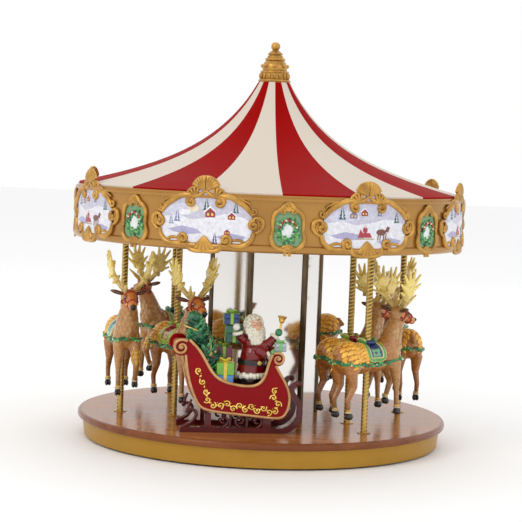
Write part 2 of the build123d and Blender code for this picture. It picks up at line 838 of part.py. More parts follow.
with BuildPart() as painted_panels:
    for angle in large_angles:
        with BuildSketch(outward_plane(trim_base, angle, rim_middle)):
            RectangleRounded(window_width - 2 * panel_gap, window_height - 2 * panel_gap, 7.8)
        extrude(amount=2 * trim_reach)
    for angle in wreath_angles:
        with BuildSketch(outward_plane(trim_base, angle, wreath_middle)):
            Circle(wreath_plate_radius - panel_gap)
        extrude(amount=2 * trim_reach)
    add(rim_band(rim_radius, rim_radius + panel_thickness, rim_bottom, rim_top + 10), mode=Mode.INTERSECT)
    add(canopy_rim.part, mode=Mode.SUBTRACT)
keep(painted_panels, "painted_panels")

light_ring = rim_radius - 22
lamp_radius = 4.0
lens_radius = 2.5
lamp_height = 1.5
lens_height = 2.0
with BuildPart() as canopy_lights:
    for radius, bottom, height in (
        (lamp_radius, ceiling_height - lamp_height, lamp_height),
        (lens_radius, ceiling_height - lamp_height - lens_height, lens_height),
    ):
        with BuildSketch(Plane.XY.offset(bottom)):
            for angle in large_angles:
                with Locations(on_circle(light_ring, angle)):
                    Circle(radius)
        extrude(amount=height)
keep(canopy_lights, "canopy_lights")

brush_reach = slip_ring_radius + turning_gap
with BuildPart() as brush_block:
    with BuildSketch(station_plane(brush_reach + brush_depth / 2, sleigh_station, slip_ring_bottom)):
        Rectangle(brush_width, brush_depth)
    extrude(amount=ceiling_height - slip_ring_bottom)
keep(brush_block, "brush_block")

# ---- Sleigh and its load -------------------------------------------------------------------
sleigh_origin = Vector(sleigh_place[0], sleigh_place[1], deck_top)
sleigh_heading = Vector(cos(radians(sleigh_turn)), sin(radians(sleigh_turn)), 0)
sleigh_side = Plane(sleigh_origin, x_dir=sleigh_heading, z_dir=sleigh_heading.rotate(Axis.Z, -90))


def sleigh_outline():
    """Side view of the sleigh from deck level: x forward, y up."""
    with BuildLine() as outline:
        back = Spline((-48, 71), (-42, 69.3), (-34.6, 61.4), (-24.5, 45), (-18.5, 39.9))
        seat = Spline(back @ 1, (-9.6, 37), (1.5, 35.4), (9.5, 36.2), (14.5, 40.3), (18.9, 57))
        Polyline(seat @ 1, (24, 62), (24, 52))
        front = Spline((24, 52), (29.9, 41.6), (35.3, 27.2), (33.8, 17.5), (27.5, 11))
        Line(front @ 1, (-31, 16.6))
        Spline((-31, 16.6), (-36.5, 24), (-42.5, 40.6), (-45.3, 59))
        Polyline((-45.3, 59), (-48, 59), (-48, 71))
    make_face(outline.edges())
    with Locations((-49, 64.6)):
        Circle(6.4)
    with Locations((25, 56.9)):
        Circle(5.2)


with BuildPart() as sleigh_body:
    with BuildSketch(sleigh_side.offset(-sleigh_half_width)):
        sleigh_outline()
    extrude(amount=2 * sleigh_half_width)
    with BuildSketch(sleigh_side.offset(-sleigh_half_width + sleigh_wall)):
        with BuildLine():
            Polyline(
                (-40, 75), (-38.5, 53), (-33, 29), (-29, 19.2), (26, 13.6),
                (31, 21), (31.5, 28), (20.5, 49), (20.5, 75), close=True,
            )
        make_face()
    extrude(amount=2 * sleigh_half_width - 2 * sleigh_wall, mode=Mode.SUBTRACT)
    with BuildSketch(sleigh_side.offset(-sleigh_half_width + sleigh_wall)):
        with BuildLine():
            Polyline((-60, 74), (-60, 55), (-43.6, 55), (-40, 75), close=True)
        make_face()
        with BuildLine():
            Polyline((20, 51), (21.8, 48), (36, 48), (36, 69), (20, 69), close=True)
        make_face()
    extrude(amount=2 * sleigh_half_width - 2 * sleigh_wall, mode=Mode.SUBTRACT)
keep(sleigh_body, "sleigh_body")

with BuildPart() as sleigh_runners:
    for side in (-1, 1):
        middle = side * (sleigh_half_width - runner_thickness / 2)
        with BuildSketch(sleigh_side.offset(middle - runner_thickness / 2)):
            with BuildLine() as runner_line:
                bar = Line((-48, runner_bar / 2), (29, runner_bar / 2))
                curl = TangentArc(bar @ 1, (43.5, 17), tangent=(1, 0))
                Spline(curl @ 1, (38.3, 29.5), (36.8, 36), (40.5, 38), tangents=(curl % 1, (1, -0.6)))
            trace(line_width=runner_bar)
            with Locations((-27, 8), (19, 8)):
                Rectangle(5, 13)
        extrude(amount=runner_thickness)
    add(sleigh_body.part, mode=Mode.SUBTRACT)
keep(sleigh_runners, "sleigh_runners")


def in_sleigh(along, across, height):
    """A level plane in the sleigh: along the sleigh, towards the column, above the deck."""
    origin = sleigh_side.from_local_coords(Vector(along, height, -across))
    return Plane(origin, x_dir=sleigh_heading, z_dir=(0, 0, 1))


# The driver, bell, gifts and greenery are placed by hand in the sleigh's own frame.
floor_height = 18.6
with BuildPart() as sleigh_driver:
    with BuildSketch(in_sleigh(7, 0, floor_height + 0.6)):
        RectangleRounded(27, 26, 8)
    with BuildSketch(in_sleigh(7.5, 0, 53)):
        RectangleRounded(21, 19, 7)
    with BuildSketch(in_sleigh(7.5, 0, 72)):
        RectangleRounded(12, 12, 4)
    loft()
    with Locations(in_sleigh(7.6, 0, 81)):
        Sphere(8.2)
    for start, end, start_radius, end_radius in (
        ((12, -3, 67), (26, -5, 71), 5.0, 3.6),
        ((26, -5, 69), (29, -5, 80), 3.4, 2.6),
        ((2, 3, 69), (-6, 0, 80), 4.6, 3.4),
    ):
        origin = in_sleigh(*start).origin
        aim = in_sleigh(*end).origin - origin
        with Locations(Plane(origin, z_dir=aim)):
            Cone(start_radius, end_radius, aim.length, align=(Align.CENTER, Align.CENTER, Align.MIN))
keep(sleigh_driver, "sleigh_driver")

with BuildPart() as hand_bell:
    with Locations(in_sleigh(29.3, -5, 82.4)):
        Cone(3.4, 1.5, 5.5, align=(Align.CENTER, Align.CENTER, Align.MIN))
        Cylinder(0.9, 8, align=(Align.CENTER, Align.CENTER, Align.MIN))
    add(sleigh_driver.part, mode=Mode.SUBTRACT)
keep(hand_bell, "hand_bell")

with BuildPart() as gift_boxes:
    with BuildSketch(in_sleigh(-15.5, -8, floor_height + 0.4)):
        Rectangle(14, 14)
    extrude(amount=31)
    with BuildSketch(in_sleigh(-15.5, 9, floor_height + 0.4)):
        Rectangle(13, 13)
    extrude(amount=44)
keep(gift_boxes, "gift_boxes")

with BuildPart() as gift_sack:
    with BuildSketch(in_sleigh(-27.4, 0, 24)):
        RectangleRounded(8.5, 24, 3)
    with BuildSketch(in_sleigh(-30.5, 0, 51)):
        RectangleRounded(11.5, 28, 5)
    with BuildSketch(in_sleigh(-37, 0, 72)):
        RectangleRounded(17, 20, 7)
    with BuildSketch(in_sleigh(-42, 0, 87)):
        RectangleRounded(9, 9, 4)
    loft()
    add(sleigh_body.part, mode=Mode.SUBTRACT)
keep(gift_sack, "gift_sack")

# ---- Poles and reindeer ---------------------------------------------------------------------


def limb(plane, start, end, start_radius, end_radius):
    """A tapered limb between two points of a reindeer's own frame."""
    origin = plane.from_local_coords(Vector(*start))
    aim = plane.from_local_coords(Vector(*end)) - origin
    with Locations(Plane(origin, z_dir=aim)):
        Cone(start_radius, end_radius, aim.length, align=(Align.CENTER, Align.CENTER, Align.MIN))


def antler_points():
    """Outline of one flat antler: a palm with tines, x forward and y up from its root."""
    rise = antler_rise - 24
    return [
        (-1.5, 0), (-3.5, rise * 0.35), (-12, rise * 0.55), (-11, rise * 0.7), (-4, rise * 0.62),
        (-7, rise * 0.95), (-3, rise), (0, rise * 0.7), (4, rise * 1.08), (7, rise),
        (5, rise * 0.6), (13, rise * 0.75), (14, rise * 0.62), (3, rise * 0.3), (1.5, 0),
    ]


def reindeer(plane):
    """A reindeer about its pole: x forward, z up, the saddle at the plane's origin.

    Each limb is given by its two ends in that frame and its radius at each end.
    """
    hoof = -hoof_drop
    with BuildPart() as animal:
        forward = plane.from_local_coords(Vector(1, 0, 0)) - plane.origin
        middle = plane.from_local_coords(Vector(0, 0, -reindeer_body_radius))
        rump = body_half_length - reindeer_body_radius
        bulge = reindeer_body_radius * sin(radians(45))
        with BuildSketch(Plane(middle, x_dir=forward, z_dir=forward.cross(plane.z_dir))):
            with BuildLine():
                ThreePointArc((-body_half_length, 0), (-rump - bulge, bulge), (-rump, reindeer_body_radius))
                ThreePointArc(
                    (-rump, reindeer_body_radius), (0, reindeer_body_radius - body_waist), (rump, reindeer_body_radius)
                )
                ThreePointArc((rump, reindeer_body_radius), (rump + bulge, bulge), (body_half_length, 0))
                Line((body_half_length, 0), (-body_half_length, 0))
            make_face()
        revolve(axis=Axis(middle, forward))
        limb(plane, (21, 0, -11), (33, 0, 20), 10.0, 6.0)
        limb(plane, (29, 0, 22), (50, 0, 14), 7.2, 3.4)
        limb(plane, (-32, 0, -7), (-38, 0, -9), 3.6, 1.6)
        for side in (-1, 1):
            limb(plane, (30, side * 4, 24), (26, side * 12, 26), 2.2, 0.8)
            limb(plane, (-22, side * 6, -16), (-25, side * 7, hoof + 6), 6.0, 2.4)
            limb(plane, (-25, side * 7, hoof + 6.5), (-24.5, side * 7, hoof), 3.1, 3.6)
        limb(plane, (24, -6, -16), (29, -6.5, hoof + 6), 5.6, 2.3)
        limb(plane, (29, -6.5, hoof + 6.5), (29.5, -6.5, hoof), 3.0, 3.5)
        limb(plane, (24, 6, -16), (35, 6.5, -33), 5.6, 3.0)
        limb(plane, (35, 6.5, -32), (30, 6.5, -46), 3.0, 2.4)
        limb(plane, (30, 6.5, -45), (28.5, 6.5, -50), 3.0, 3.4)
        for side in (-1, 1):
            root = plane.from_local_coords(Vector(33, side * 2.5, 24))
            rise = plane.from_local_coords(Vector(0.1, side * 0.5, 0.86)) - plane.origin
            with BuildSketch(Plane(root, x_dir=forward, z_dir=forward.cross(rise))):
                Polygon(*antler_points(), align=None)
            extrude(amount=0.9, both=True)
        with Locations(plane):
            Cylinder(pole_radius, 4 * hoof_drop, mode=Mode.SUBTRACT)
    return animal


for name, radius, angle, heading, saddle_height, phase in herd:
    rest_height = cam_middle + phase * cam_rest_offset
    cam_radius = outer_cam_radius if radius == outer_station_radius else inner_cam_radius
    with BuildPart() as pole:
        with BuildSketch(station_plane(radius, angle, rest_height - pole_tail)):
            Circle(pole_radius)
        extrude(amount=ceiling_top + pole_above_ceiling - rest_height)
        with BuildSketch(outward_plane(cam_radius + follower_gap, angle, rest_height)):
            Circle(follower_radius)
        extrude(amount=radius - cam_radius - follower_gap)
    keep(pole, f"pole_{name}")
    keep(reindeer(station_plane(radius, angle, deck_top + saddle_height, heading)), f"reindeer_{name}")
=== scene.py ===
# %% [markdown]
# # A carousel music box
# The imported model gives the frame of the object: base, turning deck, column, canopy and riders.
# This lesson dresses that frame: sculpted reindeer, twisted poles, gilt frames and paint.

# %% Load the frame
import bpy
from math import atan2, cos, pi, radians, sin, sqrt
from mathutils import Matrix, Vector


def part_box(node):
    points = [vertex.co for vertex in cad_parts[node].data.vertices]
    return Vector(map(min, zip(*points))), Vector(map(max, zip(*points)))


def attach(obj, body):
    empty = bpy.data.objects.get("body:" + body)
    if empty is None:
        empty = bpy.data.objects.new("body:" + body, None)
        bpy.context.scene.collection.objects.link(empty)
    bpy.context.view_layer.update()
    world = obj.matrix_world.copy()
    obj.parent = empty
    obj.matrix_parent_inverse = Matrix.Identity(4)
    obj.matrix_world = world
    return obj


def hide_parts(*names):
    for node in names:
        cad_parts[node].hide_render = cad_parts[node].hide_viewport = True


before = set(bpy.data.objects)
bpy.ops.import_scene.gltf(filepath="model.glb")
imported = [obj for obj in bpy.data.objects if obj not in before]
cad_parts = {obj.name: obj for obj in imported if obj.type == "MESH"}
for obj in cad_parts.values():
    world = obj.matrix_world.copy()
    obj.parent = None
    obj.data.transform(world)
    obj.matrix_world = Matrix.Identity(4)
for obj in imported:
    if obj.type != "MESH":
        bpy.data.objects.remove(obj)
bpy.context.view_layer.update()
mm = 0.001

# %% [markdown]
# Heights are read from the frame's own boxes, so every new piece lands where the frame says.
# The rings that the poles stand on are given in millimetres. A station angle is counted from
# the front, positive towards the right. The golden turn spreads spots evenly over a ball.

# %% Read the main sizes
deck_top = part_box("platform")[1][2]
rim_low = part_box("canopy_rim")[0][2]
rim_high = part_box("canopy_rim")[1][2]
rim_radius = 156 * mm
outer_ring, inner_ring = 117, 80
golden_turn = 2.39996
tent_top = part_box("canopy_tent")[1][2]
print("deck top", round(deck_top, 4), "rim", round(rim_low, 4), round(rim_high, 4))


def station(radius, angle, height=0.0):
    """A point at a station angle, counted from the front."""
    return Vector((radius * sin(radians(angle)), -radius * cos(radians(angle)), height))


# %% [markdown]
# The camera looks at the carousel from the front, just above the deck, and leans a little, as
# for a product view. A long lens keeps the sides of the drum nearly upright.

# %% Camera
camera_data = bpy.data.cameras.new("camera")
camera_data.lens = 118.1
camera_data.sensor_width = 36.0
camera_data.shift_x = -0.01416
camera_data.shift_y = -0.0580
camera_data.clip_start = 0.05
camera = bpy.data.objects.new("camera", camera_data)
bpy.context.scene.collection.objects.link(camera)
view_distance, view_rise, view_lean = 1.4012, radians(2.99), radians(2.28)
aim_point = Vector((0, 0, 0.170))
camera.matrix_world = (
    Matrix.Translation(aim_point + Vector((
        0, -view_distance * cos(view_rise), view_distance * sin(view_rise)
    )))
    @ Matrix.Rotation(radians(90) - view_rise, 4, "X")
    @ Matrix.Rotation(view_lean, 4, "Z")
)
bpy.context.scene.camera = camera

# %% [markdown]
# A plain pale floor and a white surround stand for a photo table. Three wide soft lamps give
# the gilding and the lacquer long gentle highlights.

# %% Floor, surround and lamps
bpy.ops.object.select_all(action="DESELECT")
bpy.ops.mesh.primitive_plane_add(size=12)
floor = bpy.context.object
floor.name = "floor"
floor_paint = bpy.data.materials.new("floor_paint")
floor_paint.use_nodes = True
floor_paint.node_tree.nodes["Principled BSDF"].inputs["Base Color"].default_value = (0.93, 0.93, 0.93, 1)
floor_paint.node_tree.nodes["Principled BSDF"].inputs["Roughness"].default_value = 0.75
floor.data.materials.append(floor_paint)

surround = bpy.data.worlds.new("surround")
surround.use_nodes = True
surround.node_tree.nodes["Background"].inputs["Color"].default_value = (1.0, 1.0, 1.0, 1)
surround.node_tree.nodes["Background"].inputs["Strength"].default_value = 1.0
bpy.context.scene.world = surround
bpy.context.scene.view_settings.view_transform = "Standard"


def soft_lamp(name, place, size, power, tint):
    """A square lamp that faces the aim point."""
    lamp_data = bpy.data.lights.new(name, "AREA")
    lamp_data.size = size
    lamp_data.energy = power
    lamp_data.color = tint
    lamp = bpy.data.objects.new(name, lamp_data)
    bpy.context.scene.collection.objects.link(lamp)
    lamp.location = place
    lamp.rotation_euler = (aim_point - Vector(place)).to_track_quat("-Z", "Y").to_euler()
    return lamp


soft_lamp("key_lamp", (-1.1, -1.3, 1.3), 0.6, 7, (1.0, 0.97, 0.92))
soft_lamp("fill_lamp", (1.4, -1.0, 0.8), 0.8, 2, (0.94, 0.97, 1.0))
soft_lamp("top_lamp", (0.1, 0.7, 1.7), 1.0, 3, (1.0, 1.0, 1.0))

# %% [markdown]
# Paints and finishes share one recipe: a principled shader whose colour drifts a little with a
# soft noise, whose gloss varies, and whose surface has a fine bump. Constant values such as coat
# and metal stay on the shader's own sockets.

# %% Finish recipe


def finish(name, colour, second=None, rough=0.4, metal=0.0, coat=0.0, grain=300.0, drift=0.5, bump=0.05,
           bump_grain=900.0, stretch=(1, 1, 1), glow=0.0, sheen=0.5):
    """A painted, cast or plated finish with drifting colour, varied gloss and a fine bump."""
    material = bpy.data.materials.new(name)
    material.use_nodes = True
    tree = material.node_tree
    shader = tree.nodes["Principled BSDF"]
    place = tree.nodes.new("ShaderNodeTexCoord")
    stretching = tree.nodes.new("ShaderNodeMapping")
    stretching.inputs["Scale"].default_value = stretch
    tree.links.new(place.outputs["Object"], stretching.inputs["Vector"])
    clouds = tree.nodes.new("ShaderNodeTexNoise")
    clouds.inputs["Scale"].default_value = grain
    clouds.inputs["Detail"].default_value = 5
    tree.links.new(stretching.outputs["Vector"], clouds.inputs["Vector"])
    if second is None:
        second = tuple(channel * 0.62 for channel in colour)
    ramp = tree.nodes.new("ShaderNodeValToRGB")
    ramp.color_ramp.elements[0].position = 0.5 - 0.5 * drift
    ramp.color_ramp.elements[0].color = (*second, 1)
    ramp.color_ramp.elements[1].position = 0.5 + 0.3 * drift
    ramp.color_ramp.elements[1].color = (*colour, 1)
    tree.links.new(clouds.outputs["Fac"], ramp.inputs["Fac"])
    tree.links.new(ramp.outputs["Color"], shader.inputs["Base Color"])
    gloss = tree.nodes.new("ShaderNodeMapRange")
    gloss.inputs["To Min"].default_value = max(0.03, rough - 0.08)
    gloss.inputs["To Max"].default_value = rough + 0.1
    tree.links.new(clouds.outputs["Fac"], gloss.inputs["Value"])
    tree.links.new(gloss.outputs["Result"], shader.inputs["Roughness"])
    speckle = tree.nodes.new("ShaderNodeTexNoise")
    speckle.inputs["Scale"].default_value = bump_grain
    speckle.inputs["Detail"].default_value = 3
    tree.links.new(stretching.outputs["Vector"], speckle.inputs["Vector"])
    relief = tree.nodes.new("ShaderNodeBump")
    relief.inputs["Strength"].default_value = bump
    relief.inputs["Distance"].default_value = 0.0004
    tree.links.new(speckle.outputs["Fac"], relief.inputs["Height"])
    tree.links.new(relief.outputs["Normal"], shader.inputs["Normal"])
    shader.inputs["Metallic"].default_value = metal
    shader.inputs["Specular IOR Level"].default_value = sheen
    shader.inputs["Coat Weight"].default_value = coat
    shader.inputs["Coat Roughness"].default_value = 0.06
    if glow:
        shader.inputs["Emission Color"].default_value = (*colour, 1)
        shader.inputs["Emission Strength"].default_value = glow
    return material


def dress(node, material):
    """Give a kept frame node its finish."""
    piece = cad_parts[node]
    piece.data.materials.clear()
    piece.data.materials.append(material)


def painted(name, rough=0.25, coat=0.6, metal=0.0, bump=0.1, bump_grain=700.0, shade=0.35):
    """Colours read from the piece's own paint attribute, under one lacquer."""
    material = finish(
        name, (1, 1, 1), (1 - shade, 1 - shade, 1 - shade), rough, metal, coat, 420, 0.6, bump, bump_grain
    )
    tree = material.node_tree
    ramp = tree.nodes["Color Ramp"]
    brushed = tree.nodes.new("ShaderNodeAttribute")
    brushed.attribute_name = "paint"
    blended = tree.nodes.new("ShaderNodeMix")
    blended.data_type = "RGBA"
    blended.blend_type = "MULTIPLY"
    blended.inputs["Factor"].default_value = 1.0
    tree.links.new(brushed.outputs["Color"], blended.inputs["A"])
    tree.links.new(ramp.outputs["Color"], blended.inputs["B"])
    tree.links.new(blended.outputs["Result"], tree.nodes["Principled BSDF"].inputs["Base Color"])
    return material


# %% Gilding, brass and the metals
antique_gold = finish(
    "antique_gold", (0.66, 0.36, 0.07), (0.20, 0.08, 0.012), 0.30, 0.6, 0.15, 110, 0.7, 0.3
)
rim_gold = finish("rim_gold", (0.46, 0.235, 0.055), (0.34, 0.16, 0.034), 0.26, 0.6, 0.1, 25, 0.8, 0.05)
skirt_gold = finish(
    "skirt_gold", (0.44, 0.235, 0.03), (0.38, 0.195, 0.022), 0.38, 0.25, 0.05, 40, 0.8, 0.06, sheen=0.2
)
pole_brass = painted("pole_brass", 0.3, 0.1, 0.7, 0.12)
post_bronze = finish("post_bronze", (0.16, 0.11, 0.055), (0.07, 0.045, 0.02), 0.3, 0.7, 0.2, 60)
turned_steel = finish(
    "turned_steel", (0.62, 0.62, 0.64), (0.5, 0.5, 0.52), 0.28, 1.0, 0.0, 500, stretch=(1, 1, 0.05)
)
bell_gold = finish("bell_gold", (0.95, 0.66, 0.16), (0.7, 0.4, 0.06), 0.2, 0.85, 0.3, 200)
copper_bands = finish("copper_bands", (0.72, 0.38, 0.2), None, 0.3, 0.9)
print("materials:", len(bpy.data.materials))

# %% [markdown]
# The column's panels are mirrors with a faintly warm glass, and the drive gears are plain
# moulded nylon, so they keep their frame shapes and only take a finish.

# %% Plastics, glass and boards
mirror_glass = finish("mirror_glass", (0.80, 0.77, 0.74), (0.74, 0.71, 0.68), 0.05, 1.0, 0.3, 12, 0.9, 0.0)
black_plastic = finish("black_plastic", (0.035, 0.035, 0.035), (0.02, 0.02, 0.02), 0.5, 0, 0, 600, bump=0.2)
foot_rubber = finish("foot_rubber", (0.05, 0.05, 0.05), (0.03, 0.03, 0.03), 0.8, 0, 0, 500, bump=0.3)
white_nylon = finish("white_nylon", (0.80, 0.78, 0.72), (0.72, 0.70, 0.64), 0.45, 0, 0, 200, bump=0.1)
board_green = finish("board_green", (0.04, 0.22, 0.10), (0.02, 0.12, 0.05), 0.35, 0, 0.3, 700, bump=0.2)
speaker_paper = finish("speaker_paper", (0.05, 0.05, 0.055), (0.02, 0.02, 0.02), 0.85, 0, 0, 900, bump=0.5)
ceiling_cream = finish("ceiling_cream", (0.66, 0.50, 0.26), (0.56, 0.42, 0.20), 0.4, 0.1, 0.2, 40)
lamp_lens = finish("lamp_lens", (1.0, 0.72, 0.34), (0.95, 0.62, 0.28), 0.3, 0, 0.4, 90, glow=2.5)

for node, material in {
    "bottom_plate": black_plastic, "control_board": board_green, "dc_inlet": black_plastic,
    "power_button": black_plastic, "music_button": black_plastic, "volume_knob": black_plastic,
    "brush_block": black_plastic, "rubber_feet": foot_rubber, "bottom_screws": turned_steel,
    "center_post": turned_steel, "thrust_bearing": turned_steel, "idler_pin": turned_steel,
    "retaining_collar": turned_steel, "motor": turned_steel, "outer_cam_track": white_nylon,
    "inner_cam_track": white_nylon, "hub_gear": white_nylon, "idler_gear": white_nylon,
    "drive_pinion": white_nylon, "lower_bushing": white_nylon, "upper_bushing": white_nylon,
    "speaker": speaker_paper, "sound_board": board_green, "slip_ring": copper_bands,
    "pole_bushes": antique_gold, "column_posts": post_bronze, "column_mirrors": mirror_glass,
    "canopy_ceiling": ceiling_cream, "canopy_lights": lamp_lens, "canopy_rim": rim_gold,
    "base_skirt": skirt_gold,
}.items():
    dress(node, material)

# %% [markdown]
# The deck is a moulded disc with a printed wood grain under a gloss lacquer. Straight grain
# runs across it: a distorted noise, stretched along the boards, gives the streaks, and a thin
# coat adds to the shine.

# %% Wood lacquer


def wood_lacquer(name, light, dark, rough, coat, turn=8.0):
    """Printed grain under gloss lacquer, running across the deck."""
    material = finish(name, light, dark, rough, 0.0, coat, 22, 0.8, 0.03, 300, (0.35, 4.5, 4.5), sheen=0.16)
    tree = material.node_tree
    tree.nodes["Mapping"].inputs["Rotation"].default_value = (0, 0, radians(turn))
    tree.nodes["Noise Texture"].inputs["Distortion"].default_value = 0.9
    tree.nodes["Noise Texture"].inputs["Detail"].default_value = 9
    return material


deck_wood = wood_lacquer("deck_wood", (0.46, 0.165, 0.036), (0.22, 0.066, 0.012), 0.20, 0.08)
edge_wood = wood_lacquer("edge_wood", (0.24, 0.075, 0.022), (0.13, 0.032, 0.012), 0.22, 0.12)
dress("platform", deck_wood)
dress("deck_edge", edge_wood)

# %% [markdown]
# The canopy is painted in sixteen stripes, deep red and cream. The stripe is worked out from
# the angle round the spindle, so the seams run straight up to the finial from the rim.

# %% Striped canopy paint
canopy_paint = finish(
    "canopy_paint", (0.31, 0.0, 0.0), (0.26, 0.0, 0.0), 0.55, 0, 0.0, 30, 0.9, 0.03, sheen=0.04
)
tree = canopy_paint.node_tree
shader = tree.nodes["Principled BSDF"]
place = tree.nodes["Texture Coordinate"]
split = tree.nodes.new("ShaderNodeSeparateXYZ")
tree.links.new(place.outputs["Object"], split.inputs["Vector"])
bearing = tree.nodes.new("ShaderNodeMath")
bearing.operation = "ARCTAN2"
tree.links.new(split.outputs["Y"], bearing.inputs[0])
tree.links.new(split.outputs["X"], bearing.inputs[1])
counted = tree.nodes.new("ShaderNodeMath")
counted.operation = "MULTIPLY_ADD"
counted.inputs[1].default_value = 8 / (2 * pi)
first_seam = radians(3.45 - 90)
counted.inputs[2].default_value = 8 - 8 * first_seam / (2 * pi)
tree.links.new(bearing.outputs[0], counted.inputs[0])
part_turn = tree.nodes.new("ShaderNodeMath")
part_turn.operation = "FRACT"
tree.links.new(counted.outputs[0], part_turn.inputs[0])
in_cream = tree.nodes.new("ShaderNodeMath")
in_cream.operation = "GREATER_THAN"
in_cream.inputs[1].default_value = 0.5
tree.links.new(part_turn.outputs[0], in_cream.inputs[0])
striped = tree.nodes.new("ShaderNodeMix")
striped.data_type = "RGBA"
striped.inputs["B"].default_value = (0.62, 0.55, 0.47, 1)
tree.links.new(in_cream.outputs[0], striped.inputs["Factor"])
tree.links.new(tree.nodes["Color Ramp"].outputs["Color"], striped.inputs["A"])
tree.links.new(striped.outputs["Result"], shader.inputs["Base Color"])
dress("canopy_tent", canopy_paint)
dress("finial", antique_gold)

# %% [markdown]
# ## Modelling helpers
# A finished piece has its place in its mesh. Each helper starts from a primitive with nothing
# else selected, and sizes are given in millimetres in the piece's own frame.

# %% Start, place and join shapes


def start_shape():
    """Back to object mode with nothing selected."""
    if bpy.context.object and bpy.context.object.mode != "OBJECT":
        bpy.ops.object.mode_set(mode="OBJECT")
    bpy.ops.object.select_all(action="DESELECT")


def settle(obj):
    """Apply the object's own place, turn and scale to its mesh."""
    start_shape()
    bpy.context.view_layer.objects.active = obj
    obj.select_set(True)
    bpy.ops.object.transform_apply(location=True, rotation=True, scale=True)
    return obj


def paint_layer(obj):
    """The colour attribute that the painted finishes read."""
    layers = obj.data.color_attributes
    return layers.get("paint") or layers.new("paint", "FLOAT_COLOR", "POINT")


def colour_all(obj, colour):
    """Fill a piece's paint attribute with one colour."""
    layer = paint_layer(obj)
    layer.data.foreach_set("color", list((*colour, 1.0)) * len(obj.data.vertices))
    return obj


def ball(centre, size, colour=(1, 1, 1), segments=16, rings=10, turn=(0, 0, 0)):
    """A ball or egg, squashed by its three half sizes."""
    start_shape()
    bpy.ops.mesh.primitive_uv_sphere_add(segments=segments, ring_count=rings, radius=mm)
    obj = bpy.context.object
    obj.scale = size if hasattr(size, "__len__") else (size, size, size)
    obj.rotation_euler = [radians(angle) for angle in turn]
    obj.location = Vector(centre) * mm
    return colour_all(settle(obj), colour)


def taper(start, end, start_radius, end_radius, colour=(1, 1, 1), sides=14):
    """A tapered rod between two points."""
    start_shape()
    start, end = Vector(start) * mm, Vector(end) * mm
    bpy.ops.mesh.primitive_cone_add(
        vertices=sides, radius1=start_radius * mm, radius2=end_radius * mm, depth=(end - start).length
    )
    obj = bpy.context.object
    obj.rotation_euler = (end - start).to_track_quat("Z", "Y").to_euler()
    obj.location = (start + end) / 2
    return colour_all(settle(obj), colour)


def block(low, high, colour=(1, 1, 1), edge=0.6):
    """A box between two corners with softened edges."""
    start_shape()
    bpy.ops.mesh.primitive_cube_add(size=1)
    obj = bpy.context.object
    low, high = Vector(low) * mm, Vector(high) * mm
    obj.scale = high - low
    obj.location = (low + high) / 2
    settle(obj)
    bpy.ops.object.mode_set(mode="EDIT")
    bpy.ops.mesh.select_all(action="SELECT")
    bpy.ops.mesh.bevel(offset=edge * mm, segments=3, affect="EDGES")
    bpy.ops.object.mode_set(mode="OBJECT")
    return colour_all(obj, colour)


def rod(points, radius, colour=(1, 1, 1), closed=False, sides=3, steps=4):
    """A smooth rod along points, with one radius or a radius for each point."""
    start_shape()
    line = bpy.data.curves.new("rod", "CURVE")
    line.dimensions = "3D"
    line.bevel_depth = mm
    line.bevel_resolution = sides
    line.resolution_u = steps
    line.use_fill_caps = True
    path = line.splines.new("NURBS")
    path.points.add(len(points) - 1)
    for index, point in enumerate(points):
        path.points[index].co = (*(Vector(point) * mm), 1)
        path.points[index].radius = radius[index] if hasattr(radius, "__len__") else radius
    path.use_cyclic_u = closed
    path.order_u = 4 if len(points) > 3 else 3
    path.use_endpoint_u = True
    obj = bpy.data.objects.new("rod", line)
    bpy.context.scene.collection.objects.link(obj)
    bpy.context.view_layer.objects.active = obj
    obj.select_set(True)
    bpy.ops.object.convert(target="MESH")
    obj = bpy.context.object
    return colour_all(obj, colour)


def join(pieces, name):
    """Join pieces into the first one."""
    start_shape()
    for piece in pieces:
        piece.select_set(True)
    bpy.context.view_layer.objects.active = pieces[0]
    if len(pieces) > 1:
        bpy.ops.object.join()
    joined = bpy.context.object
    joined.name = name
    joined.data.name = name
    return joined


def melt(obj, grain, rounds):
    """Fuse overlapping shapes into one skin with a remesh, then soften it."""
    start_shape()
    bpy.context.view_layer.objects.active = obj
    obj.select_set(True)
    fused = obj.modifiers.new("fused", "REMESH")
    fused.mode = "VOXEL"
    fused.voxel_size = grain * mm
    bpy.ops.object.modifier_apply(modifier="fused")
    softened = obj.modifiers.new("softened", "SMOOTH")
    softened.factor = 0.5
    softened.iterations = rounds
    bpy.ops.object.modifier_apply(modifier="softened")
    return obj


def wear(obj, material, angle=60):
    """Give a piece its finish and smooth shading."""
    start_shape()
    bpy.context.view_layer.objects.active = obj
    obj.select_set(True)
    bpy.ops.object.shade_smooth_by_angle(angle=radians(angle))
    obj.data.materials.clear()
    obj.data.materials.append(material)
    return obj


def twin(obj, name, matrix):
    """A copy with its own mesh, moved by a matrix that is applied to the mesh."""
    copy = obj.copy()
    copy.data = obj.data.copy()
    copy.name = name
    copy.data.name = name
    bpy.context.scene.collection.objects.link(copy)
    copy.data.transform(matrix)
    return copy


def discard(*pieces):
    """Remove templates that have been copied."""
    for piece in pieces:
        bpy.data.objects.remove(piece, do_unlink=True)
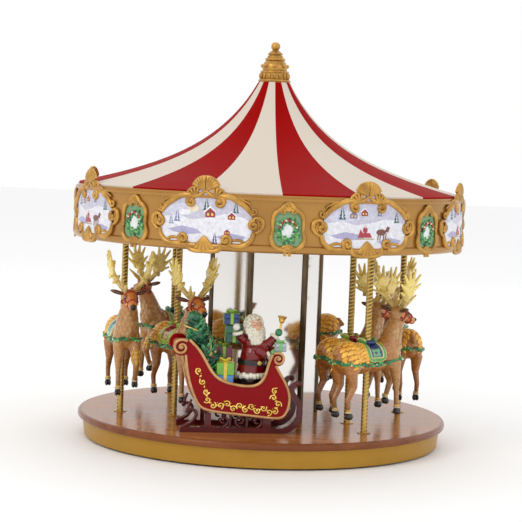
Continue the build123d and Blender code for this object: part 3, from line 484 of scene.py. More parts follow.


# %% [markdown]
# ## Twisted poles
# Each pole is a brass rod rolled as a two-strand rope, with painted shade, near black, in the
# grooves. It could be two helical rods, but one two-lobed circle swept up by a screw is lighter.
# The depth of each point goes into the paint attribute, so the grooves get the painted shade.
# One fault is left in it: both end loops are open when fill runs, so it joins them to each
# other with 32 faces as long as the pole and doesn't close the ends. Filling each end on its
# own hasn't been tried.

# %% Twisted poles
pole_radius, rope_pitch = 2.68, 2.8
groove_floor, lobe_height, ring_step = 0.74, 0.26, 0.42
paint_slope, paint_offset = 3.4, 2.3
outer_track, pin_rise, pin_inset, pin_radius = 111.3, 1.6, 1.5, 1.1
brass_light, groove_shade = (0.80, 0.53, 0.13), (0.010, 0.005, 0.002)


def twisted_pole(name):
    """A rope-twisted rod in the place of the frame's plain pole."""
    low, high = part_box("pole_" + name)
    radius, angle = herd[name][:2]
    heart = station(radius * mm, angle)
    start_shape()
    bpy.ops.mesh.primitive_circle_add(vertices=16, radius=pole_radius * mm)
    pole = bpy.context.object
    for vertex in pole.data.vertices:
        swell = abs(sin(atan2(vertex.co.y, vertex.co.x))) ** 0.6
        vertex.co *= groove_floor + lobe_height * swell
    height = high[2] - low[2]
    twist = pole.modifiers.new("twist", "SCREW")
    twist.angle = pi * height / mm / rope_pitch
    twist.screw_offset = height
    twist.steps = twist.render_steps = int(height / mm / ring_step)
    bpy.ops.object.modifier_apply(modifier="twist")
    bpy.ops.object.mode_set(mode="EDIT")
    bpy.ops.mesh.select_all(action="DESELECT")
    bpy.ops.mesh.select_non_manifold()
    bpy.ops.mesh.fill()
    bpy.ops.mesh.select_all(action="SELECT")
    bpy.ops.mesh.normals_make_consistent(inside=False)
    bpy.ops.object.mode_set(mode="OBJECT")
    paint = paint_layer(pole)
    # Painted shade: deep points in the grooves are painted near black, and the lobes brass.
    for vertex in pole.data.vertices:
        depth = (vertex.co.xy.length / mm / pole_radius - groove_floor) / lobe_height
        share = max(0, min(1, paint_slope * depth - paint_offset))
        paint.data[vertex.index].color = (*Vector(groove_shade).lerp(Vector(brass_light), share), 1)
    pole.location = (heart.x, heart.y, low[2])
    settle(pole)
    inward = -heart.normalized()
    pin_height = (low[2] / mm) + pin_rise
    start = (heart + inward * pin_inset * mm) / mm
    tip = heart / mm + inward * (outer_ring - outer_track)
    pin = taper(
        (start.x, start.y, pin_height), (tip.x, tip.y, pin_height), pin_radius, pin_radius, brass_light
    )
    pole = wear(join([pole, pin], "rope_pole_" + name), pole_brass)
    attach(pole, "rider_" + name)
    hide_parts("pole_" + name)
    return pole


herd = {  # name: (station radius, station angle, heading, saddle height above the deck)
    "outer_1": (outer_ring, -77, -77, 74.5), "outer_2": (outer_ring, 43, 43, 70.5),
    "outer_3": (outer_ring, 103, 103, 71.0),
    "outer_4": (outer_ring, 163, 163, 71.0), "outer_5": (outer_ring, 223, 223, 72.5),
    "inner_1": (inner_ring, -61, -63, 72.0),
    "inner_2": (inner_ring, 59, 45, 68.5), "inner_3": (inner_ring, 179, 179, 70.0),
}
for name in herd:
    twisted_pole(name)
print("poles:", len(herd))

# %% [markdown]
# ## One reindeer, made once
# The animal is a painted resin figure. It starts as eggs and tapered rods for rump, barrel,
# chest, neck, head and legs. A fine voxel remesh fuses them into one skin and a smoothing pass
# blends the joins, which is quicker than pushing a single mesh about. The same body is then
# copied to each pole. The figure stands in its own frame: x forward, z up, saddle at zero.

# %% Body, legs and head
tan_neck, brown_coat, dark_coat_and_shade = (0.52, 0.25, 0.075), (0.44, 0.175, 0.04), (0.13, 0.045, 0.015)
gold_fur, face_orange, hoof_black = (1.0, 0.56, 0.07), (0.62, 0.20, 0.04), (0.012, 0.010, 0.010)
antler_cream, lining_cream = (0.98, 0.78, 0.22), (0.62, 0.50, 0.30)

muscles = [
    ball((-21, 0, -11), (13.2, 11.2, 12.2)), ball((-8, 0, -12.5), (16, 10.8, 11.8)),
    ball((7, 0, -12.5), (15, 10.4, 11.6)), ball((20, 0, -9.5), (12.5, 10.6, 13.2)),
    ball((26, 0, -4), (9, 8.6, 12)), ball((-29, 0, -7.5), (5.5, 5.5, 5.5)),
    taper((23, 0, -4), (31.5, 0, 15), 9.6, 6.2), ball((31.5, 0, 13), (6.4, 5.8, 8)),
    ball((33, 0, 21.5), (7.0, 6.0, 6.0)), ball((38, 0, 20), (7.5, 5.0, 5.2), turn=(0, 22, 0)),
    ball((46, 0, 16.4), (5.6, 3.7, 3.9), turn=(0, 22, 0)), ball((49.6, 0, 14.6), (3.2, 3.0, 3.1)),
    taper((-31, 0, -3), (-37, 0, -8), 2.6, 1.6),
]
for side in (-1, 1):
    muscles += [
        ball((-22, side * 6, -15), (9.4, 5.6, 10.5)),
        taper((-24, side * 7, -20), (-21, side * 7.2, -33), 5.4, 3.3),
        ball((-21.4, side * 7.2, -33), (3.3, 3.0, 3.6)),
        taper((-21.4, side * 7.2, -33), (-27, side * 7.2, -43), 3.0, 2.2),
        ball((-27, side * 7.2, -43), (2.4, 2.3, 2.8)),
        taper((-27, side * 7.2, -43), (-25.4, side * 7.2, -52), 2.2, 1.9),
        ball((24, side * 6, -14), (7.6, 4.6, 8.8)),
    ]
muscles += [
    taper((25, -6.4, -17), (27.5, -6.6, -34), 5.0, 2.8), ball((27.5, -6.6, -34), (2.9, 2.8, 3.6)),
    taper((27.5, -6.6, -34), (28.6, -6.6, -52), 2.4, 1.9),
    taper((25, 6.2, -15), (34.4, 6.6, -31.5), 5.2, 3.2), ball((34.6, 6.6, -32), (3.3, 3.1, 3.3)),
    taper((34.4, 6.6, -33), (29.8, 6.6, -45), 2.7, 2.0),
]
coat = melt(join(muscles, "coat"), 0.8, 10)
print("coat faces:", len(coat.data.polygons))

# %% [markdown]
# The coat is painted by place, as a brush would: a taupe throat, a brown barrel, painted shade
# under the belly and inside the legs, darker feet, an orange face and a black nose. Small noise in
# the finish breaks up the colour.

# %% Paint the coat


def blend_paint(low, high, share):
    """A soft step from one colour to another."""
    share = max(0.0, min(1.0, share))
    return Vector(low).lerp(Vector(high), share * share * (3 - 2 * share))


paint = paint_layer(coat)
for vertex in coat.data.vertices:
    x, y, z = vertex.co / mm
    tone = blend_paint(brown_coat, tan_neck, (x - 14) / 10)
    # Painted shade: darker under the belly and inside the legs, most along the middle line.
    tone = blend_paint(tone, dark_coat_and_shade, (-24 - z) / 26 * (1 - abs(y) / 14))
    tone = blend_paint(tone, dark_coat_and_shade, (-46 - z) / 6 * 0.7)
    tone = blend_paint(tone, face_orange, (x - 30) / 5 * min(1, max(0, (z - 11) / 4)))
    tone = blend_paint(
        tone, lining_cream, (3 - abs(y)) / 4 * max(0, min(1, (-20 - z) / 2)) * 0.5 if z > -26 else 0
    )
    tone = blend_paint(tone, hoof_black, (sqrt((x - 52.2) ** 2 + y * y + (z - 14.5) ** 2) < 2.6) * 1.0)
    paint.data[vertex.index].color = (*tone, 1)
coat_paint = painted("coat_paint", 0.26, 0.3, 0.0, 0.3, 520, 0.4)
wear(coat, coat_paint)

# %% [markdown]
# Ears, hooves, eyes, nose and cuffs are small pieces of their own, and a small white dot on each
# eye is a painted glint. The hoof is cloven: two eggs side by side under a cream and gold cuff.

# %% Ears, eyes, hooves and cuffs
details = []
for side in (-1, 1):
    details += [
        ball((29.6, side * 9.6, 24.4), (2.4, 5.8, 1.7), dark_coat_and_shade, turn=(side * 14, 0, side * 14)),
        ball((30.3, side * 9.2, 24.2), (1.6, 4.4, 1.4), (0.45, 0.2, 0.1), turn=(side * 14, 0, side * 14)),
        ball((40.2, side * 4.5, 21.2), 1.25, hoof_black),
        # Painted glint: a small white dot on the eye.
        ball((40.8, side * 5.3, 21.7), 0.36, (0.9, 0.9, 0.9)),
        ball((39.9, side * 4.2, 22.2), (2.3, 1.3, 0.9), (0.30, 0.09, 0.02), turn=(0, 22, 0)),
        ball((51.4, side * 1.5, 15.6), 0.55, (0.02, 0.01, 0.01)),
    ]
details.append(ball((52.2, 0, 15.4), (1.7, 2.3, 1.6), hoof_black))
feet = [((-25.2, -7.2, -52), 0), ((-25.2, 7.2, -52), 0), ((28.8, -6.6, -52), 0), ((29.2, 6.6, -45.5), 24)]
for (x, y, z), tilt in feet:
    for half in (-1, 1):
        details.append(ball(
            (x + 0.5, y + half * 1.1, z - 2.8), (3.2, 1.5, 2.6), hoof_black, turn=(0, tilt, 0)
        ))
    details.append(ball((x, y, z + 0.4), (2.7, 2.7, 1.2), (0.62, 0.52, 0.34), turn=(0, tilt, 0)))
    details.append(ball((x - 0.1, y, z + 1.9), (2.5, 2.5, 0.8), gold_fur, turn=(0, tilt, 0)))
trims = wear(join(details, "trims"), coat_paint)
print("trims faces:", len(trims.data.polygons))

# %% [markdown]
# Gilded fur lies on the rump, the chest and the bent knee in rows of overlapping locks, like
# scales. A lock is a flattened teardrop, laid where a ray from outside meets the body, so it
# sits on the surface wherever that curves.

# %% Fur locks


def lay_lock(point_from, direction, lean, size, colour, relief=0.34):
    """A lock laid on the coat where a ray from outside meets it."""
    hit, place, normal, _ = coat.ray_cast(Vector(point_from) * mm, Vector(direction).normalized())
    if not hit:
        return None
    start_shape()
    bpy.ops.mesh.primitive_uv_sphere_add(segments=8, ring_count=5, radius=mm)
    lock = bpy.context.object
    for vertex in lock.data.vertices:
        share = vertex.co.x / mm
        vertex.co.y *= 1 - 0.55 * max(0, share)
        vertex.co.z *= 1 - 0.5 * max(0, share)
    along = (Vector(lean) - normal * Vector(lean).dot(normal)).normalized()
    across = normal.cross(along)
    frame_turn = Matrix((along, across, normal)).transposed().to_4x4()
    settled = Matrix.Translation(place) @ frame_turn @ Matrix.Diagonal((
        size * 1.3, size * 0.8, size * relief, 1
    ))
    lock.data.transform(settled)
    return colour_all(lock, colour)


locks = []
for row in range(6):
    around = 9 + 2 * min(row, 3)
    for step in range(around):
        bearing = radians(-120 + 240 * (step + 0.5 * (row % 2)) / (around - 1))
        x = -31 + 4.1 * row
        start = (x, 30 * sin(bearing), -11 + 30 * cos(bearing))
        shade_of_gold = blend_paint(gold_fur, (0.90, 0.42, 0.04), 0.5 + 0.5 * sin(step * 2.1 + row))
        locks.append(lay_lock(
            start, (0, -sin(bearing), -cos(bearing)), (-1, 0, -0.55), 2.6, tuple(shade_of_gold)
        ))
for row in range(5):
    for step in range(9):
        bearing = radians(-78 + 156 * (step + 0.5 * (row % 2)) / 8.5)
        z = 8 - 4.2 * row
        start = (22 + 26 * cos(bearing), 26 * sin(bearing), z)
        tone = blend_paint(tan_neck, (0.56, 0.34, 0.14), 0.5 + 0.5 * sin(step * 1.7 + row * 2))
        locks.append(lay_lock(
            start, (-cos(bearing), -sin(bearing), 0), (-0.2, 0, -1), 2.2, tuple(tone), 0.18
        ))
for row in range(3):
    for step in range(5):
        bearing = radians(-100 + 50 * step)
        start = (33 + 12 * cos(bearing), 6.6 + 12 * sin(bearing), -22 - 3.6 * row)
        locks.append(lay_lock(
            start, (-cos(bearing), -sin(bearing), -0.1), (0.4, 0, -1), 1.9, (0.66, 0.36, 0.05)
        ))
fur_gilt = painted("fur_gilt", 0.24, 0.35, 0.2, 0.2, 600, 0.35)
fur = wear(join([lock for lock in locks if lock], "fur"), fur_gilt)
print("fur faces:", len(fur.data.polygons))

# %% [markdown]
# The antlers are palmate: a beam sweeps up and back from the brow and spreads into a flat palm
# with finger-like tines. Beam and tines are tapered rods and the palm two thin eggs. The same
# function makes both sides, and they are melted into one cast piece.

# %% Antlers


def antler(side):
    """Beam, palm and tines of one antler."""
    tines = [
        rod(
            [(33, side * 2.5, 24.5), (31, side * 7, 29), (29, side * 12, 35), (29, side * 15, 42),
             (31, side * 16, 49)],
            [2.1, 2.0, 2.2, 2.4, 1.6]
        ),
        ball((29.2, side * 14.4, 42.4), (6.4, 1.5, 8.0), turn=(side * 14, 8, 0)),
        ball((29.5, side * 10.8, 34.5), (3.6, 1.5, 4.8), turn=(side * 40, 0, 0)),
    ]
    for start, end, thick in (
        ((27, 15, 44), (20.0, 17.5, 53.6), 2.1), ((28.5, 15.5, 46), (25.8, 17.6, 57.2), 2.1),
        ((31, 15.5, 46), (32.8, 17.3, 57.6), 2.1), ((33.0, 15, 44), (39.0, 17, 53.0), 2.1),
        ((26, 14, 40), (17.4, 16.5, 46), 2.0), ((33, 13.5, 39), (41, 15.5, 45.6), 1.9),
        ((34, 3.2, 25.5), (42, 4.6, 31.5), 1.9), ((34, 5, 27), (43.5, 9, 36), 2.0),
        ((27, 12, 36), (19, 15.0, 39), 1.7),
    ):
        start = (start[0], side * start[1], start[2])
        end = (end[0], side * end[1], end[2])
        tines.append(taper(start, end, thick, 0.8, sides=8))
    return tines


antlers = melt(join(antler(-1) + antler(1), "antlers"), 0.55, 3)
paint = paint_layer(antlers)
for vertex in antlers.data.vertices:
    share = (vertex.co.z / mm - 25) / 16
    paint.data[vertex.index].color = (*blend_paint((0.62, 0.42, 0.12), antler_cream, share), 1)
antler_paint = painted("antler_paint", 0.28, 0.5, 0.05, 0.35, 400, 0.35)
wear(antlers, antler_paint)
print("antler faces:", len(antlers.data.polygons))

# %% [markdown]
# ## Saddle cloths
# The saddle cloth hangs over the barrel like a blanket with rounded ends. A grid is bent round
# the barrel and each point is dropped on the coat with a ray, so the cloth touches all over,
# then a solid wall gives it thickness. Its bands of colour follow the distance to its edge.

# %% Saddle cloth
cloth_half_length, cloth_reach = 10.6, 104.0


def on_coat(x, bearing, lift, height=-11.5):
    """A point just off the coat, round the barrel at x, counted from the top."""
    outward = Vector((0, sin(radians(bearing)), cos(radians(bearing))))
    start = Vector((x, 0, height)) + outward * 30
    hit, place, _, _ = coat.ray_cast(start * mm, -outward)
    place = place / mm if hit else Vector((x, 0, height)) + outward * 11
    return place + outward * lift


def saddle_cloth(name, panel, border, piping, motif):
    """A thick cloth laid over the barrel, with its small seat and roll."""
    start_shape()
    bpy.ops.mesh.primitive_grid_add(x_subdivisions=22, y_subdivisions=60, size=2)
    cloth = bpy.context.object
    layer = paint_layer(cloth)
    for vertex in cloth.data.vertices:
        along, around = vertex.co.x, vertex.co.y
        droop = abs(around) ** 6
        half = cloth_half_length * (0.86 + 0.3 * abs(around)) * sqrt(max(0.02, 1 - droop * 0.92))
        from_edge = min((1 - abs(along)) * half, (1 - abs(around)) * 21)
        off_motif = abs(abs(around) - 0.62)
        tone = panel
        if from_edge < 0.7 or 3.4 < from_edge < 4.1:
            tone = piping
        elif from_edge < 3.4:
            tone = border
        elif off_motif < 0.17 and abs(sin(along * 7) * 0.09) + off_motif > 0.075 and abs(along) < 0.42:
            tone = motif
        raised = 0.55 + (0.35 if tone in (piping, border) else 0.0) + (0.2 if tone == motif else 0)
        vertex.co = on_coat(along * half + 0.5, around * cloth_reach, raised) * mm
        layer.data[vertex.index].color = (*tone, 1)
    wall = cloth.modifiers.new("wall", "SOLIDIFY")
    wall.thickness = 1.3 * mm
    wall.offset = -0.6
    bpy.ops.object.modifier_apply(modifier="wall")
    seat = [
        ball((0.4, 0, 0.2), (7.4, 5.4, 2.0), panel), ball((-6.2, 0, 1.6), (2.0, 4.6, 2.6), border),
        ball((6.6, 0, 1.2), (1.6, 3.4, 2.4), border),
        rod([(-7.2, 4.4, 2.0), (-7.4, 0, 4.4), (-7.2, -4.4, 2.0)], 0.55, piping),
    ]
    cloth = wear(join([cloth] + seat, name), cloth_paint, 50)
    bpy.ops.object.mode_set(mode="EDIT")
    bpy.ops.mesh.select_all(action="SELECT")
    bpy.ops.mesh.normals_make_consistent(inside=False)
    bpy.ops.object.mode_set(mode="OBJECT")
    return cloth


cloth_paint = painted("cloth_paint", 0.22, 0.25, 0.05, 0.3, 500, 0.3)
lime, cream_yellow = (0.30, 0.52, 0.05), (0.85, 0.72, 0.25)
cloths = {
    "teal": saddle_cloth(
        "cloth_teal", (0.01, 0.13, 0.17), (0.22, 0.50, 0.34), cream_yellow, (0.10, 0.38, 0.30)
    ),
    "blue": saddle_cloth(
        "cloth_blue", (0.015, 0.04, 0.16), (0.10, 0.36, 0.08), cream_yellow, (0.16, 0.42, 0.22)
    ),
    "red": saddle_cloth("cloth_red", (0.28, 0.008, 0.012), lime, cream_yellow, (0.62, 0.60, 0.22)),
}
cloth_of = {"outer_1": "teal", "outer_2": "blue", "outer_3": "teal", "outer_4": "blue", "outer_5": "teal",
            "inner_1": "red", "inner_2": "red", "inner_3": "red"}

# %% [markdown]
# ## Garland and bridle
# A leafy garland hangs round chest and rump in place of a harness. A rod follows the body's
# surface at belly height, and small leaves, red berries and white dots, which are painted
# highlights, are set along it. The bridle is three red straps round the muzzle, brow and throat,
# joined along the cheeks.

# %% Garland and bridle
garland_line = []
for step in range(36):
    bearing = radians(10 * step)
    outward = Vector((cos(bearing), sin(bearing), 0))
    height = -13.5 - 2.6 * abs(sin(bearing)) + (1.6 if outward.x > 0.8 else 0)
    far = Vector((60 * outward.x, 40 * outward.y, height))
    hit, place, _, _ = coat.ray_cast(far * mm, (Vector((0, 0, height)) - far).normalized())
    place = place / mm if hit else Vector((20 * outward.x, 12 * outward.y, height))
    garland_line.append(place + outward * 0.5)
strap = [rod(garland_line, 1.15, (0.03, 0.22, 0.07), closed=True)]
leaf_tones = ((0.03, 0.24, 0.08), (0.10, 0.38, 0.10), (0.20, 0.48, 0.14), (0.01, 0.13, 0.05))
for index, place in enumerate(garland_line):
    outward = Vector((place.x * 0.35, place.y, 0)).normalized()
    nearby = garland_line[(index + 1) % len(garland_line)]
    for share in (0.0, 0.5):
        spot = place.lerp(nearby, share) + outward * 0.5
        lift = 0.9 if (index + int(2 * share)) % 2 else -0.9
        strap.append(ball(
            (spot.x, spot.y, spot.z + lift), (1.5, 1.5, 1.1), leaf_tones[(index + int(2 * share)) % 4], 6, 4
        ))
    # Every other dot is white, as a painted highlight on the garland; the rest are red berries.
    if index % 3 == 0:
        spot = place + outward * 1.6
        strap.append(ball(spot, 0.75, (0.85, 0.9, 0.85) if index % 2 else (0.55, 0.02, 0.02), 6, 4))
muzzle, brow, throat = [], [], []
for step in range(12):
    bearing = radians(30 * step)
    muzzle.append((45.2 + 1.4 * cos(bearing), 3.9 * sin(bearing), 16.6 + 3.9 * cos(bearing)))
    brow.append((36.6 + 1.0 * cos(bearing), 5.5 * sin(bearing), 20.6 + 5.9 * cos(bearing)))
    throat.append((32.0 - 1.0 * cos(bearing), 7.0 * sin(bearing), 17.2 + 2.0 * cos(bearing)))
bridle_red = (0.36, 0.012, 0.01)
strap.append(rod(muzzle, 0.62, bridle_red, closed=True))
strap.append(rod(brow, 0.62, bridle_red, closed=True))
strap.append(rod(throat, 0.7, bridle_red, closed=True))
for side in (-1, 1):
    strap.append(rod(
        [(45.2, side * 4.0, 16.8), (41, side * 5.0, 18.6), (36.8, side * 5.6, 20.4)], 0.55, bridle_red
    ))
    strap.append(ball((45.2, side * 4.2, 16.6), 0.9, (0.8, 0.55, 0.15), 8, 6))
tack = wear(join(strap, "tack"), cloth_paint)
print("tack faces:", len(tack.data.polygons))

# %% [markdown]
# The animal is now copied to each pole. Every copy has its own mesh, already in place, and
# rides on the body that rises and falls with its pole.

# %% Put the herd on the poles
for name, (radius, angle, heading, saddle) in herd.items():
    post = station(radius * mm, angle, deck_top + saddle * mm)
    stand = Matrix.Translation(post) @ Matrix.Rotation(radians(heading), 4, "Z")
    body = twin(coat, "reindeer_coat_" + name, stand)
    others = [
        twin(trims, "hooves_and_ears_" + name, stand), twin(fur, "fur_locks_" + name, stand),
        twin(antlers, "antlers_" + name, stand), twin(tack, "garland_and_bridle_" + name, stand),
        twin(cloths[cloth_of[name]], "saddle_cloth_" + name, stand),
    ]
    for piece in [body] + others:
        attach(piece, "rider_" + name)
    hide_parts("reindeer_" + name)
discard(coat, trims, fur, antlers, tack, *cloths.values())
print("herd:", len(herd))

# %% [markdown]
# ## Gilt scroll frames
# The rim carries eight large frames cast in one piece: scrolls, curls and shells round a painted
# winter scene. The frame is drawn flat, in millimetres along the rim and up from its middle,
# as smooth rods that end in spirals. Then the flat work is wrapped round the rim.

# %% Scroll and shell helpers
scene_middle = 188.0
cast_gold = (1, 1, 1)


def winding(centre, size, shrink, start, sweep, steps):
    """Points that wind inwards, as x, y and the share of the way along."""
    points = []
    for step in range(steps):
        share = step / (steps - 1)
        bearing = radians(start + sweep * share)
        reach = size * (1 - shrink * share)
        points.append((centre[0] + reach * cos(bearing), centre[1] + reach * sin(bearing), share))
    return points


def spiral(centre, size, start, turns, thick=1.75):
    """A scroll end that winds in from its rim, with a bead at its heart."""
    line = winding(centre, size, 0.82, start, 360 * turns, 14)
    points = [(x, y, 1.2 + 1.2 * share) for x, y, share in line]
    radii = [thick * (1 - 0.45 * share) for _, _, share in line]
    return [rod(points, radii, cast_gold), ball((centre[0], centre[1], 2.3), size * 0.26, cast_gold, 10, 8)]


def stroke(points, thick=2.25):
    """A raised scroll line that swells in the middle and thins at its ends."""
    count = len(points)
    radii = [thick * (0.62 + 0.38 * sin(pi * index / (count - 1))) for index in range(count)]
    return rod([(x, y, 1.1) for x, y in points], radii, cast_gold)


def shell(centre, size, turn, ribs=7, spread=150):
    """A scallop: rounded ribs fanned out from a hinge."""
    parts = []
    for rib in range(ribs):
        bearing = radians(turn - spread / 2 + spread * rib / (ribs - 1))
        tip = (centre[0] + size * cos(bearing), centre[1] + size * sin(bearing))
        middle = (centre[0] * 0.45 + tip[0] * 0.55, centre[1] * 0.45 + tip[1] * 0.55)
        parts.append(rod(
            [(*centre, 0.8), (*middle, 2.6), (*tip, 0.6)], [0.5, size * 0.17, size * 0.19], cast_gold,
            sides=2
        ))
    rim = []
    for step in range(9):
        bearing = radians(turn - spread / 2 - 8 + (spread + 16) * step / 8)
        rim.append((centre[0] + size * 1.08 * cos(bearing), centre[1] + size * 1.08 * sin(bearing), 0.9))
    parts.append(rod(rim, 0.95, cast_gold))
    return parts


def on_side(side, points):
    """The points as drawn for side 1, and their mirror image for side -1."""
    return [(side * x, y) for x, y in points]


# %% Large frame, drawn flat
frame_work = []
for side in (1, -1):
    frame_work.append(stroke(on_side(
        side, [(9.5, 12.5), (14, 14.6), (20, 13.4), (25.5, 9.6), (30, 7.6), (33.5, 3.2), (35.5, 0.5)]
    )))
    frame_work.append(stroke(on_side(
        side, [(36.6, -11.5), (36.2, -16), (32.5, -20.5), (27, -23.0), (21.5, -21.6), (17.5, -22.4)]
    )))
    frame_work.append(stroke(
        on_side(side, [(12.6, -20.2), (13.8, -24.2), (10, -26.6), (5.2, -27.0), (0, -27.2)]), 1.9
    ))
    frame_work.append(stroke(
        on_side(
            side, [(35.5, -2.5), (38.0, -0.4), (42.0, -1.2), (43.8, -5.5), (42.2, -10.2), (37.8, -12.4)]
        ),
        1.8
    ))
    frame_work.append(stroke(on_side(side, [(30, -19.5), (26, -16.8), (21.5, -18.2)]), 1.4))
    frame_work += spiral((side * 10.9, 8.9), 3.9, 90, -side * 1.3)
    frame_work += spiral((side * 36.0, 3.6), 2.6, -120 if side == 1 else -60, side * 1.2, 1.0)
    frame_work += spiral((side * 36.4, -6.6), 3.7, 80 if side == 1 else 100, side * 1.3)
    frame_work += spiral((side * 16.4, -18.2), 4.2, -60 if side == 1 else -120, side * 1.4)
    frame_work += spiral((side * 29.0, -21.5), 2.0, 200 if side == 1 else -20, -side * 1.2, 0.8)
    frame_work += shell((side * 7.8, 12.2), 7.0, 90 - side * 48, 6, 130)
    frame_work += shell((side * 38.6, -6.4), 4.2, 0 if side == 1 else 180, 5, 130)
    frame_work += shell((side * 0.8, 17.4), 9.4, 90 - side * 33, 5, 56)
    frame_work.append(stroke(on_side(side, [(0, 17.4), (3.6, 14.2), (7.6, 12.4), (11, 12.8)]), 1.7))
    frame_work.append(stroke(on_side(side, [(24, 13.2), (29, 11.2), (34, 8.4)]), 1.2))
frame_work += shell((0, -15.6), 11.0, -90, 5, 70)
large_frame = join(frame_work, "large_frame")
print("frame faces:", len(large_frame.data.polygons))

# %% [markdown]
# Each small frame between them holds a wreath: a ring of leaves with red berries on a pale
# plaque, under a little crest, with a gilt tassel below.

# %% Wreath frame, drawn flat
wreath_middle = 182
small_work, wreath_work = [], []
for side in (1, -1):
    small_work.append(stroke(
        on_side(
            side, [(0, 17.2), (2.6, 16.2), (3.6, 13.2), (7.0, 11.2), (10.6, 8.6), (11.6, 3.0), (11.0, -4)]
        ),
        1.9
    ))
    small_work.append(stroke(
        on_side(side, [(11.0, -4), (12.6, -8), (12.0, -12.6), (9.0, -16), (4.6, -17.6), (0, -18.4)]), 1.9
    ))
    small_work += spiral((side * 3.6, 10.8), 2.3, 90, -side * 1.2, 1.1)
small_work += shell((0, 10.6), 4.6, 90, 5, 110)
small_work += shell((0, -18.6), 4.2, 90, 5, 100)
small_work.append(block((-2.8, -22.0, 0.2), (-0.5, -17.5, 1.8), cast_gold, 0.3))
small_work.append(block((0.5, -22.0, 0.2), (2.8, -17.5, 1.8), cast_gold, 0.3))
small_frame = join(small_work, "small_frame")
for index in range(46):
    bearing = radians(360 / 46 * index * 3.2)
    reach = 6.6 + 1.7 * sin(index * 2.3)
    spot = (reach * cos(bearing), -3.4 + reach * 1.15 * sin(bearing), 0.9 + 0.4 * sin(index * 1.3))
    tone = leaf_tones[index % 4]
    wreath_work.append(ball(spot, (2.1, 1.1, 0.8), tone, 7, 5, (0, 0, 55 * index)))
for index in range(11):
    bearing = radians(20 + 140 / 10 * index)
    spot = (6.6 * cos(bearing), -3.4 + 7.6 * sin(bearing), 1.9)
    wreath_work.append(ball(spot, 0.95, (0.45, 0.03, 0.05) if index % 3 else (0.8, 0.7, 0.5), 8, 6))
wreath = join(wreath_work, "wreath")

# %% [markdown]
# ## Painted winter scenes
# Each plaque is a low relief of flat painted shapes: hills, houses, firs, a sleigh and a horse.
# A shape is a filled circle whose points are put on its outline, one thin layer above the next.

# %% Flat shapes and plaques


def shape(points, depth, colour):
    """A flat painted shape, its points given in order."""
    start_shape()
    bpy.ops.mesh.primitive_circle_add(vertices=len(points), radius=1, fill_type="NGON")
    obj = bpy.context.object
    for vertex, (x, y) in zip(obj.data.vertices, points):
        vertex.co = Vector((x, y, depth)) * mm
    return colour_all(obj, colour)


def round_patch(centre, half_width, half_height, depth, colour, count=20):
    """An oval flat shape."""
    turns = [2 * pi * step / count for step in range(count)]
    outline = [(centre[0] + half_width * cos(turn), centre[1] + half_height * sin(turn)) for turn in turns]
    return shape(outline, depth, colour)


def fir(x, y, height, tone=(0.03, 0.10, 0.09)):
    """Three tiers with snow on them."""
    parts = []
    for tier in range(3):
        low, wide = y + height * 0.26 * tier, height * (0.30 - 0.07 * tier)
        parts.append(shape([(x - wide, low), (x + wide, low), (x, low + height * 0.46)], 1.22, tone))
        snow = [
            (x - wide * 0.2, low + height * 0.18), (x + wide * 0.35, low + 0.2), (x, low + height * 0.46)
        ]
        parts.append(shape(snow, 1.24, (0.85, 0.86, 0.95)))
    return parts


def house(x, y, size, wall=(0.34, 0.04, 0.04)):
    """A gabled front under a snowy roof, with two lit windows."""
    half = size * 0.5
    left, right = x - half * 1.25, x + half * 1.25
    eave_low, eave_high = y + half * 0.8, y + half * 1.15
    ridge_low, ridge_high = y + size * 0.92, y + size * 1.15
    parts = [
        shape(
            [(x - half, y), (x + half, y), (x + half, y + half), (x, y + size), (x - half, y + half)], 1.22,
            wall
        ),
        shape(
            [(left, eave_low), (left, eave_high), (x, ridge_high), (x, ridge_low)], 1.26, (0.92, 0.92, 0.97)
        ),
        shape(
            [(x, ridge_low), (x, ridge_high), (right, eave_high), (right, eave_low)], 1.26,
            (0.80, 0.82, 0.93)
        ),
    ]
    for side in (-1, 1):
        middle = x + side * half * 0.42
        parts.append(shape([(middle - size * 0.1, y + size * 0.16), (middle + size * 0.1, y + size * 0.16),
                            (middle + size * 0.1, y + size * 0.4),
                            (middle - size * 0.1, y + size * 0.4)], 1.28, (0.95, 0.66, 0.18)))
    return parts


def ground_and_sky():
    lilac, snow, shadow = (0.60, 0.58, 0.70), (0.80, 0.80, 0.86), (0.44, 0.42, 0.62)
    return [
        shape([(-36, -8), (-34, 5), (-28, 10), (-20, 13), (-8, 15), (0, 21), (8, 15), (20, 13), (28, 10),
            (34, 5), (36, -8),
               (34, -18), (27, -22), (16, -22), (8, -25), (-8, -25), (-16, -22), (-27, -22),
               (-34, -18)], 1.0, lilac),
        shape([(-34, -3), (-22, -1), (-10, -4), (4, -2), (16, 1), (28, -1), (34.5, -4), (34, -18),
            (27, -22), (16, -22), (8, -25),
               (-8, -25), (-16, -22), (-27, -22), (-34, -18)], 1.1, snow),
        shape([(-30, -12), (-18, -9), (-6, -11), (-2, -14), (-12, -15), (-24, -14)], 1.14, shadow),
        shape([(8, -16), (20, -13), (31, -15), (28, -19), (16, -19)], 1.14, shadow),
        shape(
            [(-33, 1), (-26, 6), (-18, 8), (-10, 5), (-6, 1), (-14, -1), (-26, -2)], 1.12,
            (0.66, 0.66, 0.80)
        ),
    ]


def village():
    parts = ground_and_sky() + house(4, -2, 7.5) + house(20, -3, 5.5) + house(
        17, -14, 4.2
    ) + fir(1, 3, 9) + fir(23, 2, 8)
    parts += fir(
        -22, -6, 9, (0.20, 0.22, 0.42)
    ) + fir(-27, -8, 7, (0.26, 0.28, 0.48)) + fir(8, -21, 8, (0.08, 0.06, 0.20))
    parts += [
        round_patch((-9, 4), 4.6, 2.6, 1.2, (0.82, 0.72, 0.52)),
        round_patch((-16, 1), 5, 2.2, 1.21, (0.86, 0.86, 0.92))
    ]
    return parts


